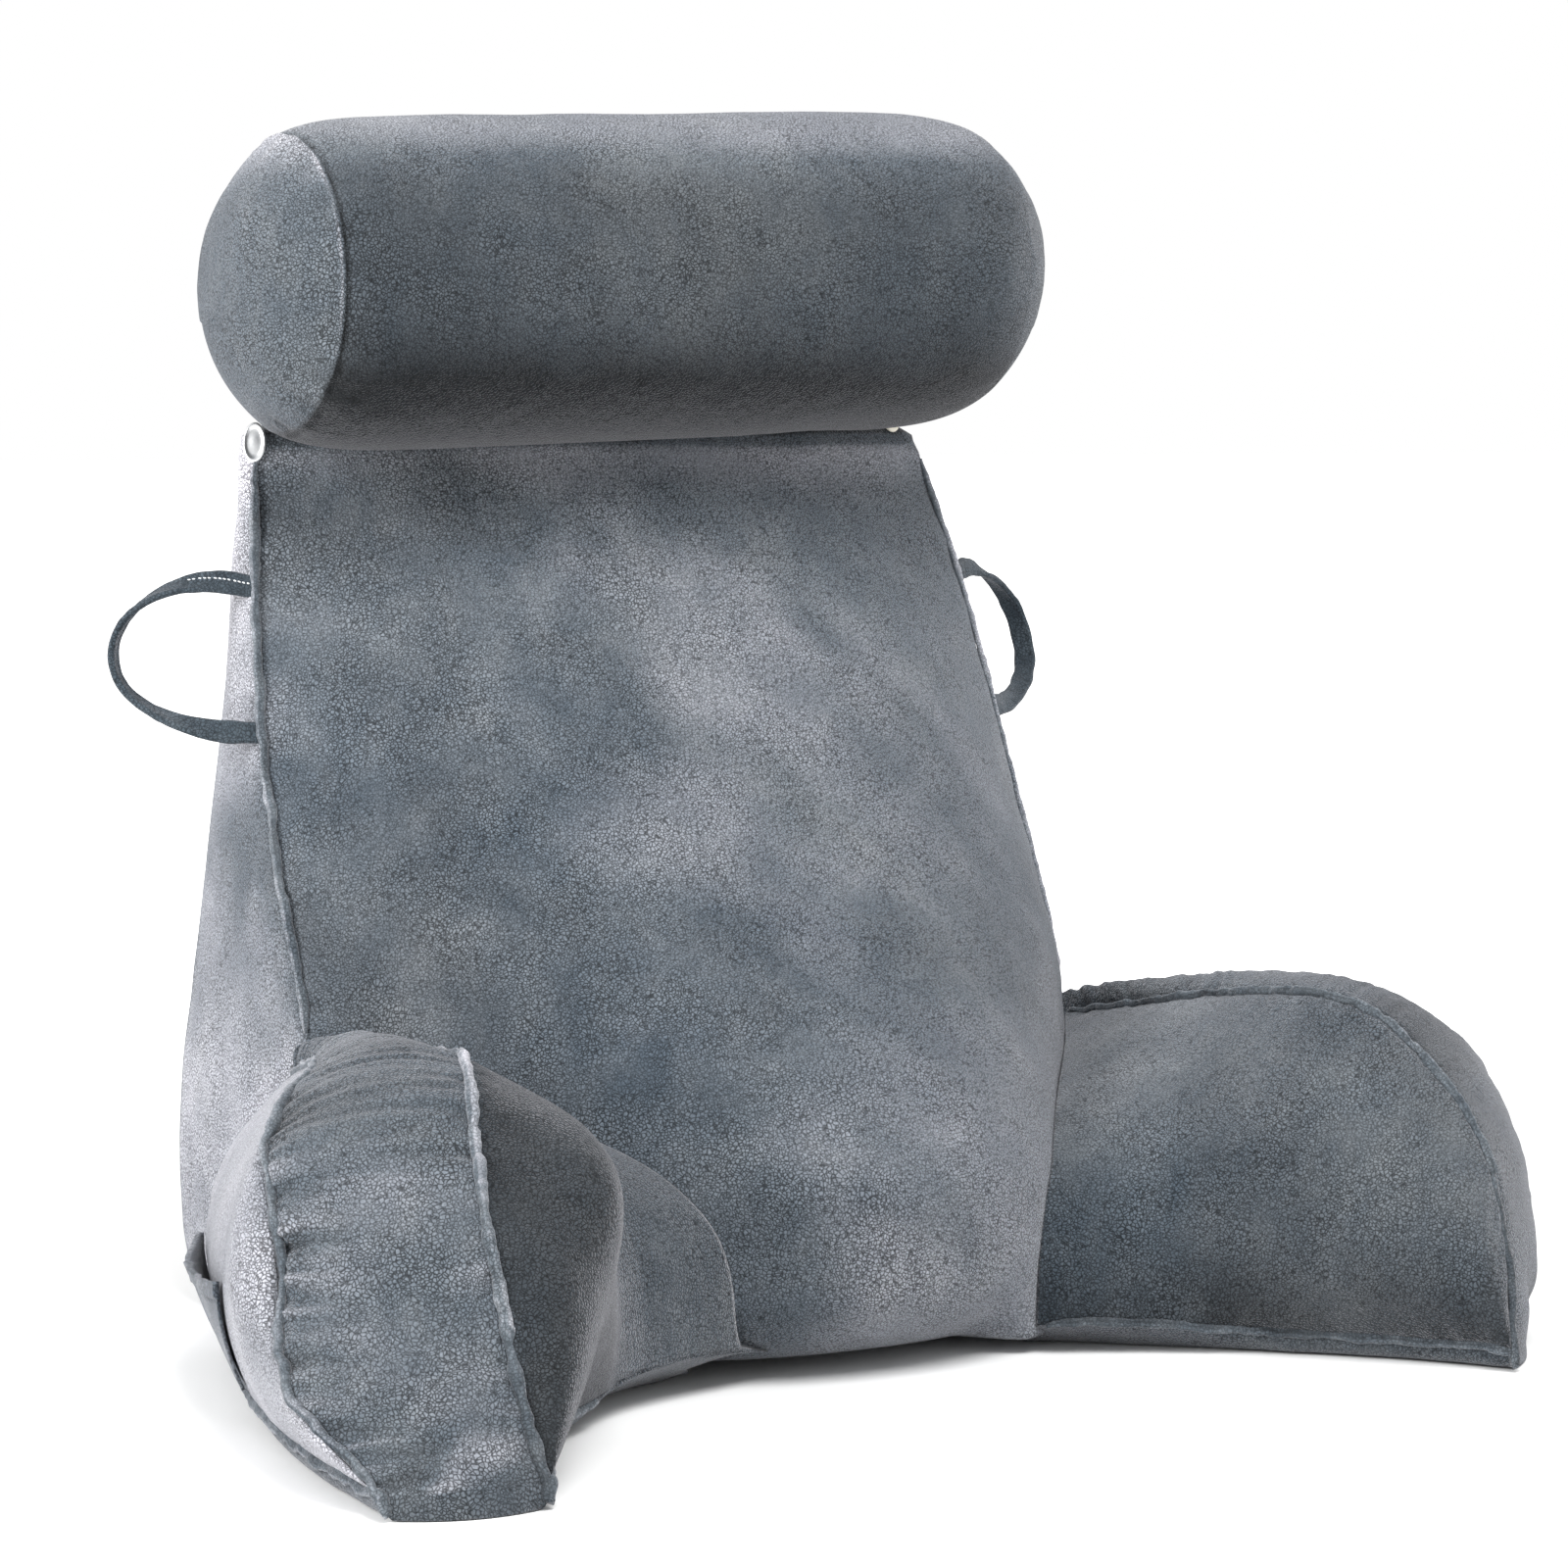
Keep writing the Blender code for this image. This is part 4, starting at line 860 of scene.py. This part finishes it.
def neck_roll():
    along, around_it, cap_rows = (int(n * DENSITY) for n in (240, 180, 46))
    rs = np.linspace(0.015, 1, cap_rows)[:-1]
    barrel = ROLL_HALF * np.linspace(1, 0, along // 2 + 1)
    xs = np.r_[ROLL_HALF + ROLL_CAP * (1 - rs ** CAP_FULL), barrel]
    left, right = (np.r_[rs * seam, barrel_radius(way * barrel)] for seam, way in zip(ROLL_SEAMS_R, (-1, 1)))
    xs, rs = np.r_[-xs, xs[::-1][1:]], np.r_[left, right[::-1][1:]]
    turn = full_turn(around_it)
    grid = np.stack([ROLL_X + xs[:, None] + 0 * turn, ROLL_Y + rs[:, None] * np.cos(turn),
                     ROLL_Z + ROLL_RISE * xs[:, None] + rs[:, None] * np.sin(turn)], -1)
    normal = outward_normals(grid, (ROLL_X, ROLL_Y, ROLL_Z))
    run, ring = run_of(grid, 0), np.arange(len(xs))[:, None]
    seam_a, seam_b = cap_rows - 1, len(xs) - cap_rows
    away = np.minimum(np.abs(run - run[seam_a]), np.abs(run - run[seam_b]))
    around = turn * ROLL_SEAMS_R[0] + 60.0 * (ring > len(xs) // 2)
    on_barrel = (ring >= seam_a) & (ring <= seam_b)
    high = grid[..., 2] - ROLL_Z
    height, pitch, reach = (np.where(on_barrel, *pair) for pair in ROLL_PUCKERS)
    fold = (1 + 1.3 * ramp(high, -2, -7)) * height * puckers(around, away, pitch, reach, 161)
    move = 0.20 * lumps(grid, 9.0, 151) * (1 - np.exp(-away / 2.0)) + 0.04 * lumps(grid, 2.6, 154) + fold
    seam_shows = np.where(grid[..., 0] < 0, *END_SEAM)
    move = move + seam_shows * (0.09 * bell(away, 0, 0.10) - 0.10 * bell(away, 0.20, 0.16) * on_barrel)
    move = np.where((high < -2.5) & (move > 0), 0, move)    # it doesn't swell towards the back cushion
    grid = grid + normal * move[..., None]
    x, high = grid[..., 0], grid[..., 2] - ROLL_Z
    # painted light and shade: a painted highlight along the end seams with a painted dark line beside it on the
    # barrel, fold crests lighter and their hollows darker, a patch of painted shade low at the right; the lumps are
    # random tone
    line = (0.9 + 0.4 * ripple(167, around / 2.2)) * bell(away, 0, 0.09) - 0.8 * bell(away, 0.24, 0.12) * on_barrel
    nap_and_painted_light = 2.4 * fold + seam_shows * line + nap_and_light_of(ROLL_LIGHT_AND_SHADE, x, high) + on_barrel * nap_and_light_of(BARREL_SHADE, x, high)
    nap_and_painted_light = nap_and_painted_light + ~on_barrel * np.where(x < 0, *END_LIGHT_AND_SHADE) - 0.10 * bell(high, -3, 4) * bell(x, 17, 6)
    nap_and_painted_light = nap_and_painted_light + 0.22 * lumps(grid + grid[..., [2]] * (0.4, 0, 0), 5.5, 169)
    settle(capped("neck_roll_cover", grid, roll_velvet, nap_and_painted_light), "neck_roll")


# -------- carrying loops

def carrying_loop(side):
    rows = []
    for out, drop in LOOP:
        at = body_at(LOOP_TOP_Z + drop)
        rows.append((SIGN[side] * (at["edge_x"] + LOOP_ROOT[0] + out * LOOP_DIR[0]),
                     at["edge_y"] + LOOP_ROOT[1] + out * LOOP_DIR[1], LOOP_TOP_Z + drop))
    path = spread(rows, 34)
    for _ in range(5):
        path[1:-1] = (path[:-2] + 2 * path[1:-1] + path[2:]) / 4
    path = spread(path, int(230 * DENSITY))
    # both ends go on under the raised seam
    ends = []
    for point in (path[0], path[-1]):
        at = body_at(point[2])
        ends.append(np.array([SIGN[side] * (at["edge_x"] - 0.15), at["edge_y"] + 0.10, point[2]]))
    share = np.linspace(0, 1, 9)[:, None]
    path = np.concatenate([ends[0] + (path[0] - ends[0]) * share[:-1], path,
                           path[-1] + (ends[1] - path[-1]) * share[1:]])
    ahead, run = headings(path), run_of(path, 0)
    share = np.sin(np.pi * np.linspace(0, 1, len(path)))[:, None] ** 1.2
    flat = np.array([-SIGN[side] * LOOP_DIR[1], LOOP_DIR[0], 0.0])
    rise = np.array([0, 0, 1.0]) * (1 - share) + flat * share
    wide = unit(rise - ahead * (rise * ahead).sum(1)[:, None])
    thick = np.cross(ahead, wide)
    turn = full_turn(28)
    a, b = (np.sign(v) * np.abs(v) ** power for v, power in ((np.cos(turn), 0.55), (np.sin(turn), 0.75)))
    edge = 0.72 + 0.40 * bell(np.abs(a), 0.78, 0.16)   # folded edges stand thicker
    wobble = 1 + 0.07 * ripple(171, run / 0.9, 0.0, float(SIGN[side]))[:, None]
    crimp = 0.018 * ripple(173, run[:, None] / 0.33, a * 2)
    grid = (path[:, None] + wide[:, None] * (a * STRAP_W / 2 * wobble)[..., None]
            + thick[:, None] * (b * edge * STRAP_T / 2 + crimp * np.sign(b))[..., None])
    settle(capped("loop_strap_" + side, grid, strap_velvet), "carrying_loop_" + side)
    if side == "right":
        return
    # stitches along the sewn root, on the face towards the front
    towards = np.sign((thick[8] * (0, -1, 0)).sum())
    long, q = np.linspace(-1, 1, STITCH_RINGS)[:, None, None], full_turn(8)[:, None]
    girth = STITCH_R * np.sqrt(np.maximum(0.03, 1 - long * long))
    points, quads = [], []
    for n in range(STITCHES):
        k = int(np.argmin(np.abs(run - (STITCH_FROM + STITCH_STEP * n))))
        centre = path[k] + wide[k] * 0.12 * STRAP_W + thick[k] * towards * (STRAP_T / 2 * 0.80)
        slant = unit(ahead[k] + 0.18 * wide[k])
        other = np.cross(slant, thick[k])
        start = len(points) * 8 * STITCH_RINGS
        points.append(centre + slant * long * STITCH_HALF + (other * np.cos(q) + thick[k] * np.sin(q) * 0.8) * girth)
        quads += (ring_quads(STITCH_RINGS, 8) + start).tolist()
        quads += [[start + j for j in range(8)][::-1], [start + 8 * (STITCH_RINGS - 1) + j for j in range(8)]]
    stitches = facing_out(mesh_object("loop_stitches_" + side, np.reshape(points, (-1, 3)), quads, thread))
    settle(stitches, None)


# -------- side pocket

def side_pocket():
    n, m = int(96 * DENSITY), int(64 * DENSITY)
    s = np.linspace(*POCKET_ALONG, n)
    _, to, _, bo = arm_curves("left", s)
    middle = np.sin(np.pi * np.linspace(0, 1, n))[:, None]
    rise = np.linspace(0, 1, m)[None, :]
    here = outer_panel(to, bo, s, POCKET_UP[0] + (POCKET_UP[1] - POCKET_SAG * middle - POCKET_UP[0]) * rise)
    out = unit(np.cross(np.gradient(here, axis=1), np.gradient(here, axis=0)))
    out *= np.sign(out[..., :1])
    gape = POCKET_GAPE * middle ** 0.8 * rise ** 1.6
    run, up = run_of(here, 0), run_of(here, 1)
    loose = middle ** 0.5 * rise
    crumple = loose * (0.16 * ripple(181, run / 1.7, up / 2.4) + 0.07 * ripple(183, run / 0.7, up / 0.9))
    crumple = crumple - 0.02 * (np.exp(-np.minimum(run, run[-1:] - run) / 0.5) + np.exp(-up / 0.5))
    near = here + out * (POCKET_OFF + np.maximum(gape + crumple, 0))[..., None]
    near[..., 2] += 0.12 * loose * ripple(185, run / 1.3, 0.0, 2.0)
    hem = 1 + 0.9 * ramp(rise, HEM_AT, HEM_AT + 0.02) - 0.55 * bell(rise, HEM_AT + 0.005, 0.012)
    far = near + out * (POCKET_T * hem)[..., None]
    points = np.concatenate([near.reshape(-1, 3), far.reshape(-1, 3)]) * (SIGN["left"], 1, 1)
    i, j = np.meshgrid(np.arange(n - 1), np.arange(m - 1), indexing="ij")
    face = np.stack([i * m + j, (i + 1) * m + j, (i + 1) * m + j + 1, i * m + j + 1], -1).reshape(-1, 4)
    quads = face.tolist() + (face[:, ::-1] + n * m).tolist()
    rim = [k * m for k in range(n)] + [(n - 1) * m + k for k in range(1, m)]
    rim += [k * m + m - 1 for k in range(n - 2, -1, -1)] + [k for k in range(m - 2, 0, -1)]
    quads += [[b, a, n * m + a, n * m + b] for a, b in zip(rim, rim[1:] + rim[:1])]
    obj = facing_out(mesh_object("side_pocket_cloth", points, quads, pocket_velvet))
    # painted light and shade: the crumpled-out cloth painted lighter and the groove under the hem darker; the lumps
    # are random tone
    nap_and_painted_light = 0.40 + 0.4 * lumps(near, 3.0, 187) + 1.5 * crumple - 0.5 * (hem < 0.9)
    paint(obj, np.concatenate([nap_and_painted_light.ravel(), nap_and_painted_light.ravel()]))
    settle(obj, "side_pocket")


# -------- press studs

def stud(name, node, placed, profile, look):
    centre, facing, tall = placed
    centre, facing = np.array(centre), unit(np.array(facing))
    right = unit(np.cross((0, 0, 1.0), facing))
    up = np.cross(facing, right)
    turn = full_turn(56)[:, None]
    rings = [centre + size * (np.cos(turn) * right * CAP_W + np.sin(turn) * up * tall) + facing * lift * CAP_T
             for size, lift in profile]
    settle(capped(name, np.array(rings), look), node)


# -------- assembly

back_cushion()
neck_roll()
for side in ("left", "right"):
    arm_welts(side, arm(side))
    front_welt(side)
    carrying_loop(side)
side_pocket()
stud("cap_left", "press_stud_left", STUD_LEFT, CAP_LEFT, metal)
stud("cap_right", "press_stud_right", STUD_RIGHT, CAP_RIGHT, cream)

# -------- floor, light and camera

FLOOR_HALF, FLOOR_DROP, WHITE_FROM = 4000.0, 0.06, (0.6, 1.8)    # it turns to plain white between, in metres
KEY_LIGHT, TOP_LIGHT, AIM = ((-3.2, 0.1, 1.6), 1.6, 110), ((0.0, -1.7, 2.9), 1.8, 90), (0, 0, 0.25)
SKY = (0.72, 1.0)    # its strength on the pillow, and as the camera sees it
CAMERA_AT, CAMERA_DOWN, CAMERA_ASIDE, CAMERA_LENS, CAMERA_SENSOR = (-1.1962, -2.1753, 0.48), 4.55, 29.76, 107.995, 36
floor_look, floor_tree, floor_shader, add = nodes_of("floor_white")
put(floor_shader, {"Base Color": (0.97, 0.97, 0.965, 1), "Roughness": 0.9, "Specular IOR Level": 0.0,
                   "Emission Color": (1, 1, 1, 1)})
corners = [(x, y, -FLOOR_DROP) for x, y in FLOOR_HALF * np.array([(-1, -1), (1, -1), (1, 1), (-1, 1)])]
floor = mesh_object("studio_floor", corners, [(0, 1, 2, 3)], floor_look)
away = add("ShaderNodeVectorMath", operation="LENGTH")
far = add("ShaderNodeMapRange", interpolation_type="SMOOTHSTEP", **dict(zip(("From Min", "From Max"), WHITE_FROM)))
for out, socket in ((add("ShaderNodeTexCoord").outputs["Object"], away.inputs[0]),
                    (away.outputs["Value"], far.inputs["Value"]),
                    (far.outputs["Result"], floor_shader.inputs["Emission Strength"])):
    floor_tree.links.new(out, socket)


def area_light(name, place, size, power):
    data = bpy.data.lights.new(name, "AREA")
    data.shape, data.size, data.energy = "SQUARE", size, power
    lamp = bpy.data.objects.new(name, data)
    bpy.context.scene.collection.objects.link(lamp)
    lamp.location = place
    lamp.rotation_euler = (Vector(AIM) - Vector(place)).to_track_quat("-Z", "Y").to_euler()


area_light("key_left", *KEY_LIGHT)
area_light("top_soft", *TOP_LIGHT)

world = bpy.data.worlds.new("studio")
world.use_nodes = True
sky_nodes, link = world.node_tree.nodes, world.node_tree.links.new
sky, seen, even = sky_nodes["Background"], sky_nodes.new("ShaderNodeLightPath"), sky_nodes.new("ShaderNodeMapRange")
put(sky, {"Color": (1, 1, 1, 1)})
put(even, dict(zip(("To Min", "To Max"), SKY)))
link(seen.outputs["Is Camera Ray"], even.inputs["Value"])
link(even.outputs["Result"], sky.inputs["Strength"])
bpy.context.scene.world = world
bpy.context.scene.view_settings.view_transform = "Standard"

camera_data = bpy.data.cameras.new("photo_view")
camera_data.sensor_width, camera_data.lens = CAMERA_SENSOR, CAMERA_LENS
camera_data.clip_end = 100
camera = bpy.data.objects.new("photo_view", camera_data)
camera.location = CAMERA_AT
camera.rotation_euler = (radians(90 - CAMERA_DOWN), 0, radians(-CAMERA_ASIDE))
bpy.context.scene.collection.objects.link(camera)
bpy.context.scene.camera = camera
